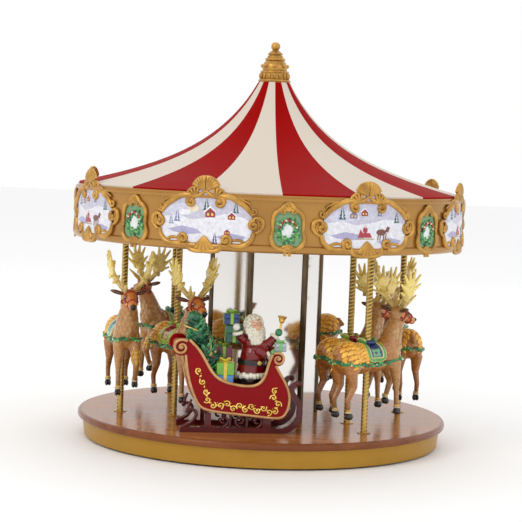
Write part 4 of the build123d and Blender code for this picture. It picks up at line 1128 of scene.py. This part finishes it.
def sleigh_ride():
    red, horse = (0.42, 0.04, 0.06), (0.20, 0.07, 0.05)
    parts = ground_and_sky() + house(
        -12, 1, 6, (0.26, 0.20, 0.34)
    ) + house(-3, 3, 5.5) + fir(-21, 0, 10) + fir(26, -2, 9)
    parts += fir(10, 3, 7, (0.12, 0.16, 0.26))
    parts += [shape([(-8, -13), (-6, -7), (-4, -9.5), (2, -9.5), (4, -13)], 1.24, red),
        round_patch((-2, -7.4), 2.0, 2.2, 1.26, red),
              round_patch((-2, -4.8), 1.1, 1.1, 1.28, (0.8, 0.6, 0.45)),
              round_patch((12, -9), 4.4, 2.3, 1.24, horse),
              shape([(15, -8.5), (17.5, -4.5), (20, -5.5), (18.2, -9)], 1.25, horse)]
    for x in (9, 11, 14, 16):
        parts.append(shape([(x, -10), (x + 1.0, -10), (x + 0.4, -15), (x - 0.4, -15)], 1.25, horse))
    parts.append(shape([(-9, -14.4), (6, -14.4), (6, -13.7), (-9, -13.7)], 1.26, (0.5, 0.35, 0.12)))
    return parts


def snow_friends():
    parts = ground_and_sky() + fir(-25, -6, 13) + fir(24, -4, 11) + fir(
        15, 0, 8, (0.20, 0.24, 0.42)
    ) + house(16, -8, 5)
    parts += [round_patch((-8, -12), 5.2, 5.0, 1.22, (0.90, 0.90, 0.95)),
        round_patch((-8, -5), 3.8, 3.6, 1.24, (0.92, 0.92, 0.97)),
              round_patch((-8, 0), 2.8, 2.7, 1.26, (0.93, 0.93, 0.97)),
              shape([(-10.6, 1.6), (-5.4, 1.6), (-6.2, 5.4), (-9.8, 5.4)], 1.28, (0.40, 0.03, 0.05)),
              shape([(-11.5, -3), (-4.5, -3), (-4.8, -1.6), (-11.2, -1.6)], 1.28, (0.45, 0.04, 0.06)),
              round_patch((3, -11), 3.2, 4.4, 1.22, (0.42, 0.05, 0.06)),
              round_patch((3, -5.4), 2.0, 2.0, 1.24, (0.75, 0.55, 0.42))]
    return parts


plaques = []
for title, painter in (("village", village), ("sleigh_ride", sleigh_ride), ("snow_friends", snow_friends)):
    plaques.append(join(painter(), "scene_" + title))
    print(title, "faces:", len(plaques[-1].data.polygons))
small_plaque = join([
    shape([(0, 15), (4, 12), (9.5, 8), (10.5, 0), (10, -6), (11, -10), (8, -15.5), (0, -17.6), (-8, -15.5),
        (-11, -10), (-10, -6),
           (-10.5, 0), (-9.5, 8), (-4, 12)], 0.35, (0.20, 0.36, 0.18)),
    round_patch((0, -3.4), 5.0, 5.6, 0.55, (0.82, 0.86, 0.84)),
], "small_plaque")

# %% [markdown]
# Wrapping turns a distance along the rim into an angle and a height above the rim's face into
# a larger radius. It is done once for each piece, at the front, and copies are then turned
# round the spindle.

# %% Wrap and set the frames


def bend_round(obj, middle_height):
    """Turn a distance along the rim into an angle, and a depth into a larger radius."""
    for vertex in obj.data.vertices:
        x, y, depth = vertex.co
        vertex.co = station(rim_radius + depth, x / rim_radius * 180 / pi, y + middle_height * mm)


def wrap(obj, middle_height):
    """Bend a flat piece round the rim, cutting its faces into strips first so that they can bend."""
    start_shape()
    bpy.context.view_layer.objects.active = obj
    obj.select_set(True)
    bpy.ops.object.mode_set(mode="EDIT")
    for x in range(-36, 37, 3):
        bpy.ops.mesh.select_all(action="SELECT")
        bpy.ops.mesh.bisect(plane_co=(x * mm, 0, 0), plane_no=(1, 0, 0))
    bpy.ops.object.mode_set(mode="OBJECT")
    bend_round(obj, middle_height)
    return obj


scene_paint = painted("scene_paint", 0.35, 0.1, 0.0, 0.15, 350, 0.3)
leaf_paint = painted("leaf_paint", 0.22, 0.35, 0.0, 0.3, 400, 0.35)
for plaque in plaques + [small_plaque]:
    wrap(plaque, scene_middle if plaque is not small_plaque else wreath_middle)
    wear(plaque, scene_paint, 20)
for piece, middle, material in (
    (large_frame, scene_middle, antique_gold), (small_frame, wreath_middle, antique_gold),
    (wreath, wreath_middle, leaf_paint),
):
    bend_round(piece, middle)
    wear(piece, material)
first_frame, first_wreath, frame_spacing = -17.3, 5.2, 45
for index in range(8):
    turn = Matrix.Rotation(radians(first_frame + frame_spacing * index), 4, "Z")
    small_turn = Matrix.Rotation(radians(first_wreath + frame_spacing * index), 4, "Z")
    gilt = twin(large_frame, f"gilt_frame_{index + 1}", turn)
    scene = twin(plaques[(index + 2 * (index // 2)) % 3], f"painted_scene_{index + 1}", turn)
    small_gilt = twin(small_frame, f"wreath_frame_{index + 1}", small_turn)
    leaves = twin(wreath, f"wreath_{index + 1}", small_turn)
    backing = twin(small_plaque, f"wreath_plaque_{index + 1}", small_turn)
    for piece in (gilt, scene, small_gilt, leaves, backing):
        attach(piece, "carousel")
    if index == 0:
        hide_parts("large_cartouches")
        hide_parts("painted_panels")
        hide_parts("wreath_cartouches")
discard(large_frame, small_frame, wreath, small_plaque, *plaques)
print("frames set")

# %% [markdown]
# ## The sleigh
# The red body stays as the frame has it, in a smooth deep red. Raised gilt edging follows its
# outline on both faces and ends in the two curls, and a string of cast scrolls runs along the
# lower edge. All of it is drawn flat, then stood up on the near and the far side.

# %% Sleigh paint and edging
sleigh_red = finish(
    "sleigh_red", (0.30, 0.0, 0.002), (0.19, 0.0, 0.004), 0.22, 0.0, 0.06, 18, 0.9, 0.04, sheen=0.12
)
runner_maroon = finish(
    "runner_maroon", (0.10, 0.004, 0.006), (0.035, 0.002, 0.003), 0.16, 0.0, 0.3, 60, 0.8, 0.05, sheen=0.3
)
peach_gilt = finish("peach_gilt", (0.66, 0.38, 0.16), (0.42, 0.19, 0.06), 0.32, 0.35, 0.15, 120, 0.6, 0.2)
dress("sleigh_body", sleigh_red)
dress("sleigh_runners", runner_maroon)
sleigh_stand = Matrix.Translation(Vector((-16 * mm, -90.5 * mm, deck_top))) @ Matrix.Rotation(
    radians(8), 4, "Z"
)
side_face = 18.0
top_edge = [
    (-43.0, 70.4), (-38.5, 66.6), (-34.0, 61.4), (-29.2, 53.0), (-24.5, 45.0), (-18.5, 39.9), (-9.6, 37.2),
    (1.5, 35.6),
    (9.5, 36.4), (14.5, 40.8), (16.9, 48.0), (18.4, 55.5), (21.0, 60.6),
]
lower_edge = [
    (23.6, 52.0), (26.6, 46.4), (30.2, 41.0), (33.8, 34.0), (35.2, 27.2), (34.6, 20.0), (31.8, 13.6),
    (27.4, 11.2),
    (13.0, 12.8), (-8.7, 14.8), (-30.6, 16.9), (-35.6, 22.4), (-39.4, 31.0), (-42.6, 40.8), (-44.4, 50.0),
    (-45.4, 59.0),
]


def curl(centre, size, start, turns, thick):
    """A slim curl for the ends of the edging."""
    line = winding(centre, size, 0.8, start, 360 * turns, 18)
    points = [(x, y, 0.5 + 1.3 * share) for x, y, share in line]
    return rod(points, [thick * (1 - 0.35 * share) for _, _, share in line])


edging = [
    rod([(x, y, 0.4) for x, y in top_edge], 1.15), rod([(x, y, 0.4) for x, y in lower_edge], 1.05),
    curl((-49, 64.6), 6.6, 48, 1.45, 1.25), curl((25.2, 57.0), 5.4, 130, -1.4, 1.1),
    ball((-49, 64.6, 1.4), 1.6), ball((25.2, 57.0, 1.3), 1.3),
]
scroll_spots = [
    (-35.4, 47.0), (-32.0, 38.8), (-29.0, 31.2), (-28.0, 25.0), (-23.4, 20.8), (-17.8, 20.8), (-12.6, 22.2),
    (-8.0, 18.6),
    (-3.2, 20.8), (1.4, 18.0), (6.0, 20.6), (10.6, 17.4), (15.2, 19.4), (19.6, 16.2), (24.2, 17.0),
    (26.4, 22.6), (22.6, 27.4),
    (23.4, 32.6),
]
filigree = []
for index, (x, y) in enumerate(scroll_spots):
    way = 1 if index % 2 else -1
    line = winding((x, y), 2.9, 0.78, 90 * way + 40 * index, 430 * way, 10)
    points = [(across, up, 0.3 + 0.3 * share) for across, up, share in line]
    radii = [0.72 * (1 - 0.4 * share) for _, _, share in line]
    filigree += [rod(points, radii, sides=2, steps=3), ball((x, y, 0.6), 0.7, (1, 1, 1), 8, 6)]
    if index:
        before = scroll_spots[index - 1]
        middle = ((x + before[0]) / 2, (y + before[1]) / 2)
        filigree.append(ball((*middle, 0.3), (1.3, 0.8, 0.6), (1, 1, 1), 8, 6, (0, 0, 47 * index)))
        filigree.append(ball((middle[0] + 0.4, middle[1] + 2.2, 0.2), 0.5, (1, 1, 1), 6, 5))
edging = wear(join(edging, "edging"), peach_gilt)
filigree = wear(join(filigree, "filigree"), bell_gold)
stand_up = Matrix(((1, 0, 0, 0), (0, 0, -1, 0), (0, 1, 0, 0), (0, 0, 0, 1)))
turn_away = Matrix(((1, 0, 0, 0), (0, 0, 1, 0), (0, 1, 0, 0), (0, 0, 0, 1)))
for side, upright, title in ((-1, stand_up, "near"), (1, turn_away, "far")):
    shift = sleigh_stand @ Matrix.Translation(Vector((0, side * side_face * mm, 0))) @ upright
    for piece, name in ((edging, "sleigh_edging_"), (filigree, "sleigh_scrolls_")):
        placed = twin(piece, name + title, shift)
        if side == 1:
            placed.data.flip_normals()
        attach(placed, "carousel")
discard(edging, filigree)

# %% [markdown]
# Cross rolls join the two faces at the curls, and cast scrolls carry the body on its runners.

# %% Rolls and runner scrolls
rolls = [
    taper((-49, -15.8, 64.6), (-49, 15.8, 64.6), 3.4, 3.4),
    taper((25.2, -15.8, 57), (25.2, 15.8, 57), 2.7, 2.7),
    rod([(-46.6, 0, 60), (-43.5, 0, 45), (-38.5, 0, 28), (-31.5, 0, 17.6)], 0.9),
    rod([(31.8, 0, 38), (35.6, 0, 27), (34.4, 0, 17)], 0.9),
]
rolls = wear(join(rolls, "sleigh_rolls"), peach_gilt)
carriers = []
for side in (-1, 1):
    y = side * 16.5
    carriers += [
        rod([(-47, y, 3.6), (-41, y, 6.0), (-36.4, y, 10.4), (-35, y, 15.0), (-38.6, y, 17.8),
            (-42.6, y, 16.6), (-41.6, y, 21),
             (-39.6, y, 25)], [1.5, 1.5, 1.4, 1.3, 1.2, 1.1, 1.2, 0.9]),
        ball((-42.4, y, 16.2), 1.9), ball((41.6, y, 38.2), 2.2),
        rod([(24, y, 11), (29.5, y, 9), (34.5, y, 12.5), (36.8, y, 18)], [1.5, 1.4, 1.2, 0.9]),
    ]
    for x, way in ((-15, 1), (-2, -1), (11, 1)):
        line = winding((x, 8.6), 4.6, 0.75, -90, 400 * way, 12)
        points = [(along, y, up) for along, up, _ in line]
        carriers.append(rod(points, [1.25 * (1 - 0.35 * share) for _, _, share in line]))
        carriers.append(taper((x + 5, y, 3.6), (x + 5.6, y, 14.6), 1.1, 1.0))
carriers = wear(join(carriers, "runner_scrolls"), runner_maroon)
for piece in (rolls, carriers):
    piece.data.transform(sleigh_stand)
    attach(piece, "carousel")
print("sleigh trimmed")

# %% [markdown]
# ## The driver
# A stout bearded figure in a long red coat stands in the sleigh and rings a hand bell. Coat and
# arms are fused like the animals. The face is a calm one of general proportions: eyes half
# way down the head, a short round nose and soft cheeks. Hair and beard are rows of curls.

# %% Coat and arms
coat_red, fur_cream, skin = (0.20, 0.002, 0.004), (0.90, 0.86, 0.72), (0.76, 0.42, 0.25)
cloak = melt(join([
    taper((7, 0, 42), (7.3, 0, 53), 11.6, 10.2, sides=20),
    taper((7.3, 0, 50), (7.2, 0, 68), 10.4, 7.0, sides=20),
    ball((8.6, -1, 58), (10.2, 9.6, 9.0)), ball((7.2, 0, 67), (8.4, 9.6, 5.8)),
    taper((11, -5, 66), (17.5, -6.5, 66), 4.6, 4.0), taper((17.5, -6.5, 66), (23.0, -6, 71.5), 4.0, 3.3),
    taper((10, -8, 63), (17.5, -10.5, 59), 4.4, 3.8), taper((3, 2, 68), (-3.4, -1, 73), 4.6, 3.6),
], "driver_coat"), 0.7, 7)
cloak_colour_and_shade = paint_layer(cloak)
for vertex in cloak.data.vertices:
    x, y, z = vertex.co / mm
    bearing = atan2(y, x - 7.2)
    if z < 55:
        ripple = 0.55 * sin(7 * bearing) * (55 - z) / 22
        vertex.co.x += cos(bearing) * ripple * mm
        vertex.co.y += sin(bearing) * ripple * mm
    # Painted shade: the coat's red darkens towards the hem.
    cloak_colour_and_shade.data[vertex.index].color = (*blend_paint(coat_red, (0.10, 0.002, 0.004), (52 - z) / 22), 1)
resin_gloss = painted("resin_gloss", 0.2, 0.3, 0.0, 0.2, 380, 0.35)
wear(cloak, resin_gloss)

# %% Trim, head, curls and mittens
face_way = Vector((0.42, -0.9, 0.05)).normalized()
face_side = Vector((-face_way.y, face_way.x, 0)).normalized()
head = Vector((7.6, 0, 81.4))


def on_face(out, across, up):
    """A point on the head: out along the gaze, across it, and up."""
    return head + face_way * out + face_side * across + Vector((0, 0, up))


trim_parts = []
hem_height, hem_reach, hem_thick, hem_tufts = 42.6, 11.4, 2.4, 26
for step in range(hem_tufts):
    bearing = radians(360 / hem_tufts * step)
    wave = 0.6 * sin(3 * step)
    tuft = (7 + hem_reach * cos(bearing), hem_reach * 0.97 * sin(bearing), hem_height + wave)
    trim_parts.append(ball(tuft, (hem_thick, hem_thick, hem_thick * 1.05), fur_cream, 8, 6))
trim_parts.append(taper((7.3, 0, 50.6), (7.5, 0, 54.4), 11.3, 11.1, (0.012, 0.006, 0.006), 28))
trim_parts.append(taper((7, 0, 24), (7, 0, 42), 10.2, 10.2, (0.028, 0.006, 0.01), 24))
buckle = Vector((7.4, 0, 52.6)) + Vector((face_way.x * 10.8, face_way.y * 10.8, 0))
trim_parts.append(ball(buckle, (2.0, 2.0, 1.9), (0.75, 0.5, 0.12), 10, 8))
trim_parts += [
    ball((2, -4, 26), (6.5, 6, 7.5), (0.02, 0.01, 0.01)),
    ball((12, -4, 26), (6.5, 6, 7.5), (0.02, 0.01, 0.01)),
    ball((7, 4, 26), (8, 6, 7.5), (0.03, 0.012, 0.012)),
    ball((2, -7, 21), (5.2, 5, 2.8), (0.015, 0.01, 0.01)),
    ball((13, -7, 21), (5.2, 5, 2.8), (0.015, 0.01, 0.01)),
]
mittens = [
    ((23.6, -6, 72.6), (26.6, -5.4, 76.0), (0.03, 0.26, 0.10)),
    ((18.8, -10.8, 58.6), (22.6, -10.4, 60.6), (0.22, 0.55, 0.20)),
    ((-4.4, -1.4, 74.2), (-5.6, -1.2, 79.0), (0.86, 0.84, 0.80)),
]
for cuff, hand, tone in mittens:
    for step in range(9):
        bearing = radians(40 * step)
        way = (Vector(hand) - Vector(cuff)).normalized()
        across = way.orthogonal().normalized()
        ring = Matrix.Rotation(bearing, 3, way) @ across * 3.0
        trim_parts.append(ball(Vector(cuff) + ring, 1.5, fur_cream, 8, 6))
    trim_parts.append(ball(hand, (2.9, 2.5, 3.0), tone))
    trim_parts.append(ball(Vector(hand) + Vector((1.4, 1.2, 1.2)), (1.2, 1.2, 2.0), tone))
trim_parts += [
    ball(head, (6.5, 6.4, 6.9), skin, 24, 18), ball(on_face(4.9, 0, -2.2), (3.0, 3.6, 3.0), skin)
]
trim_parts.append(ball(on_face(6.5, 0, -0.6), (1.15, 1.15, 1.5), (0.76, 0.38, 0.24), 12, 10))
for side in (-1, 1):
    trim_parts += [
        ball(on_face(5.5, side * 2.5, -1.2), (1.5, 1.5, 1.3), (0.78, 0.36, 0.24), 12, 10),
        ball(on_face(5.72, side * 2.0, 1.0), (0.85, 0.85, 0.6), (0.90, 0.86, 0.80), 12, 8),
        ball(on_face(6.2, side * 2.0, 0.95), 0.46, (0.06, 0.035, 0.02), 8, 6),
        ball(on_face(5.85, side * 2.0, 1.6), (1.2, 1.0, 0.4), skin, 10, 6),
        rod(
            [on_face(5.9, side * 0.9, 2.5), on_face(6.1, side * 2.1, 3.0), on_face(5.3, side * 3.3, 2.6)],
            0.5, fur_cream
        ),
        rod(
            [
                on_face(6.6, side * 0.3, -2.0), on_face(6.7, side * 2.0, -2.6),
                on_face(5.6, side * 3.9, -3.6)
            ],
            [0.9, 1.15, 0.5], fur_cream
        ),
    ]
trim_parts.append(rod(
    [on_face(6.3, -0.9, -3.2), on_face(6.6, 0, -3.4), on_face(6.3, 0.9, -3.2)], 0.42, (0.45, 0.10, 0.08)
))
curls = 0
head_curls = 96
for step in range(head_curls):
    up = 1 - 2 * (step + 0.5) / head_curls
    bearing = step * golden_turn
    across = sqrt(1 - up * up)
    way = Vector((across * cos(bearing), across * sin(bearing), up))
    facing = way.dot(face_way)
    if facing > 0.62 and up > -0.42 and up < 0.62:
        continue
    spot = head + Vector((way.x * 6.7, way.y * 6.5, way.z * 6.8))
    tone = tuple(channel * (0.93 + 0.07 * sin(step * 1.9)) for channel in fur_cream)
    trim_parts.append(ball(spot, (1.65, 1.65, 1.5), tone, 8, 6))
    curls += 1
for row in range(6):
    for step in range(9 - row // 2):
        share = (step - (8 - row // 2) / 2) / 4.2
        spot = on_face(5.8 - 3.4 * share * share + 0.7 * row, share * (7.6 - 0.1 * row), -3.8 - 2.0 * row)
        tone = tuple(channel * (0.93 + 0.07 * sin(step * 2.3 + row)) for channel in fur_cream)
        trim_parts.append(ball(spot, (1.7, 1.7, 1.9), tone, 8, 6))
        curls += 1
driver = join([cloak] + trim_parts, "driver_figure")
wear(driver, resin_gloss)
driver.data.transform(sleigh_stand)
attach(driver, "carousel")
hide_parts("sleigh_driver")
print("driver curls:", curls, "faces:", len(driver.data.polygons))

# %% [markdown]
# The hand bell is swung up, so its mouth is on top. It is turned: its outline is drawn as a line
# of points and spun about its axis.

# %% Hand bell


def turned(outline, name, steps=28):
    """Spin an outline, given as radius and height, about the upright axis."""
    start_shape()
    bpy.ops.mesh.primitive_plane_add(size=mm)
    obj = bpy.context.object
    bpy.ops.object.mode_set(mode="EDIT")
    bpy.ops.mesh.select_all(action="SELECT")
    bpy.ops.mesh.merge(type="CENTER")
    first = Vector((outline[0][0], 0, outline[0][1])) * mm
    bpy.ops.transform.translate(value=first)
    here = first
    for radius, height in outline[1:]:
        there = Vector((radius, 0, height)) * mm
        bpy.ops.mesh.extrude_region_move(TRANSFORM_OT_translate={"value": there - here})
        here = there
    bpy.ops.mesh.select_all(action="SELECT")
    bpy.ops.mesh.spin(steps=steps, angle=2 * pi, center=(0, 0, 0), axis=(0, 0, 1))
    bpy.ops.mesh.select_all(action="SELECT")
    bpy.ops.mesh.remove_doubles(threshold=0.02 * mm)
    bpy.ops.mesh.normals_make_consistent(inside=False)
    bpy.ops.object.mode_set(mode="OBJECT")
    obj.name = name
    return colour_all(obj, (1, 1, 1))


bell = turned([
    (0, 1.0), (1.2, 1.1), (1.9, 1.6), (2.2, 3.0), (2.7, 4.6), (3.7, 5.9), (3.8, 6.2), (3.3, 6.2),
    (2.3, 4.8), (1.8, 3.0),
    (0, 1.8),
], "bell")
grip = turned([(0, -6.5), (1.3, -6.2), (1.1, -4.8), (0.8, -3.6), (0.8, 0.5), (1.2, 1.2), (0, 1.3)], "grip")
bell = wear(join([bell, grip, ball((0, 0, 4.9), 1.1)], "ringing_bell"), bell_gold)
bell.data.transform(sleigh_stand @ Matrix.Translation(Vector((28.2, -5.2, 82.4)) * mm) @ Matrix.Rotation(
    radians(8), 4, "Y"
))
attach(bell, "carousel")
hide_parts("hand_bell")

# %% [markdown]
# ## Gifts and greenery
# Wrapped boxes with ribbons and bows stand round the driver, and a bundle of evergreen leans
# on the back rest, tied with a gold cord and dotted with berries.

# %% Gift boxes
ribbon_yellow, ribbon_lime = (0.80, 0.58, 0.05), (0.26, 0.50, 0.04)


def gift(low, high, body, lid, ribbon, bow=3.0, lid_share=0.45):
    """A box with its lid, crossing ribbons and a bow of two loops."""
    low, high = Vector(low), Vector(high)
    middle = (low + high) / 2
    lid_low = high.z - (high.z - low.z) * lid_share
    parts = [
        block(low, (high.x, high.y, lid_low), body),
        block((low.x - 0.3, low.y - 0.3, lid_low), (high.x + 0.3, high.y + 0.3, high.z), lid)
    ]
    parts.append(block(
        (middle.x - 1.3, low.y - 0.6, low.z), (middle.x + 1.3, high.y + 0.6, high.z + 0.4), ribbon, 0.3
    ))
    parts.append(block(
        (low.x - 0.6, middle.y - 1.3, low.z), (high.x + 0.6, middle.y + 1.3, high.z + 0.4), ribbon, 0.3
    ))
    for side in (-1, 1):
        loop = [(middle.x, middle.y, high.z + 0.4),
            (middle.x + side * bow, middle.y - 1.5, high.z + bow * 1.2),
                (middle.x + side * bow * 1.7, middle.y, high.z + bow * 0.7),
                (middle.x + side * bow, middle.y + 1.5, high.z + 0.6)]
        parts.append(rod(loop, 0.85, ribbon, closed=True))
    parts.append(ball((middle.x, middle.y, high.z + 1.0), 1.3, ribbon, 10, 8))
    return parts


wrapped = gift(
    (-21, -15, 19.2), (-8.2, -2, 53), (0.06, 0.26, 0.62), (0.18, 0.46, 0.05), ribbon_yellow, 3.0, 0.28
)
wrapped += gift((-20, 3, 19.2), (-8, 15, 63), (0.12, 0.01, 0.04), (0.17, 0.015, 0.05), ribbon_lime)
wrapped += gift((-13, 1.5, 66.5), (-0.5, 12, 80), (0.02, 0.10, 0.07), (0.03, 0.16, 0.09), ribbon_lime, 2.4)
wrapped += gift((-15, -1, 80.8), (-3.5, 9, 89), (0.012, 0.04, 0.17), (0.015, 0.05, 0.20), ribbon_lime, 2.6)
wrapped += gift(
    (23.5, -14, 62.0), (31.5, -6.5, 68.5), (0.45, 0.50, 0.62), (0.50, 0.54, 0.66), (0.25, 0.60, 0.22), 1.8
)
gifts = wear(join(wrapped, "wrapped_gifts"), resin_gloss)
gifts.data.transform(sleigh_stand)
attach(gifts, "carousel")
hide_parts("gift_boxes")

# %% Evergreen bundle
spine = [
    ((-26, 0, 24), 9), ((-27.5, 0, 36), 10.5), ((-27.5, 0, 48), 12.0), ((-30.5, 0, 60), 12.6),
    ((-34.5, 0, 71), 11.0),
    ((-37.6, 0, 80), 7.6), ((-22.5, -3, 54), 7.5), ((-20.5, -4, 47), 6.0),
]
core = melt(
    join([ball(place, (size * 0.62, size * 1.12, size * 0.86)) for place, size in spine], "bundle"), 0.9, 4
)
colour_all(core, (0.012, 0.09, 0.04))
greens = []
leaf_count = 250
for step in range(leaf_count):
    share = (step + 0.5) / leaf_count
    bearing = step * golden_turn
    height = 30 + 57 * share
    along = -26.5 - 12.5 * max(0, (height - 30) / 57) ** 1.2
    outward = Vector((cos(bearing), sin(bearing), 0))
    start = Vector((along, 0, height)) + outward * 30
    hit, place, normal, _ = core.ray_cast(start * mm, -outward)
    if not hit:
        continue
    tone = [(0.02, 0.20, 0.08), (0.04, 0.30, 0.12), (0.10, 0.42, 0.16), (0.008, 0.10, 0.05)][step % 4]
    leaf = ball((0, 0, 0), (3.2, 1.8, 0.9), tone, 8, 5)
    lean = normal.lerp(Vector((0, 0, 1)), 0.45).normalized()
    across = lean.cross(normal).normalized()
    leaf.data.transform(Matrix.Translation(place + normal * 0.8 * mm) @ Matrix((
        lean, across, lean.cross(across)
    )).transposed().to_4x4())
    greens.append(leaf)
    if step % 8 == 0:
        greens.append(ball(
            (place + normal * 1.8 * mm) / mm, 1.15, (0.42, 0.012, 0.01) if step % 16 else (0.75, 0.5, 0.1),
            8, 6
        ))
cord_ring = []
for step in range(15):
    bearing = radians(24 * step)
    cord_ring.append((-36.6 + 9.0 * cos(bearing), 9.6 * sin(bearing), 76.5 - 3.0 * cos(bearing)))
greens.append(rod(cord_ring, 0.75, (0.72, 0.52, 0.16), closed=True))
greens.append(rod([(-28.4, -4, 74), (-25.0, -9, 68), (-26.0, -11, 60)], 0.7, (0.72, 0.52, 0.16)))
greens.append(ball((-26.0, -11, 59), (1.6, 1.6, 2.2), (0.75, 0.52, 0.12)))
greens.append(ball((-38.6, -1, 86), (5.4, 5.4, 4.8), (0.02, 0.17, 0.07)))
greens.append(rod([(-44, -2, 86), (-38.6, -6.6, 87.6), (-33.2, -2, 86)], 0.7, (0.60, 0.10, 0.04)))
bundle = wear(join([core] + greens, "evergreen_bundle"), leaf_paint)
bundle.data.transform(sleigh_stand)
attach(bundle, "carousel")
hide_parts("gift_sack")
print("bundle faces:", len(bundle.data.polygons))

# %% [markdown]
# The finial keeps its turned frame shape. Cast beads stand round its dome, with small leaves and
# plain rings round its foot and neck.

# %% Finial beads and leaves
crown = tent_top / mm
ornaments = []
for step in range(8):
    bearing = radians(45 * step)
    ornaments.append(ball((10.2 * cos(bearing), 10.2 * sin(bearing), crown + 13.2), 1.5, (1, 1, 1), 12, 8))
for step in range(16):
    bearing = radians(22.5 * step)
    ornaments.append(ball(
        (11.4 * cos(bearing), 11.4 * sin(bearing), crown + 5.0), (1.3, 1.3, 2.6), (1, 1, 1), 10, 8
    ))
for height, reach, thick in (
    (1.2, 12.6, 0.9), (8.4, 10.9, 0.9), (18.6, 7.2, 1.2), (20.8, 5.6, 1.0), (23.0, 5.4, 0.8)
):
    loop = [(
        reach * cos(radians(20 * step)), reach * sin(radians(20 * step)), crown + height
    ) for step in range(18)]
    ornaments.append(rod(loop, thick, (1, 1, 1), closed=True))
ornaments = wear(join(ornaments, "finial_beads"), antique_gold)
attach(ornaments, "carousel")
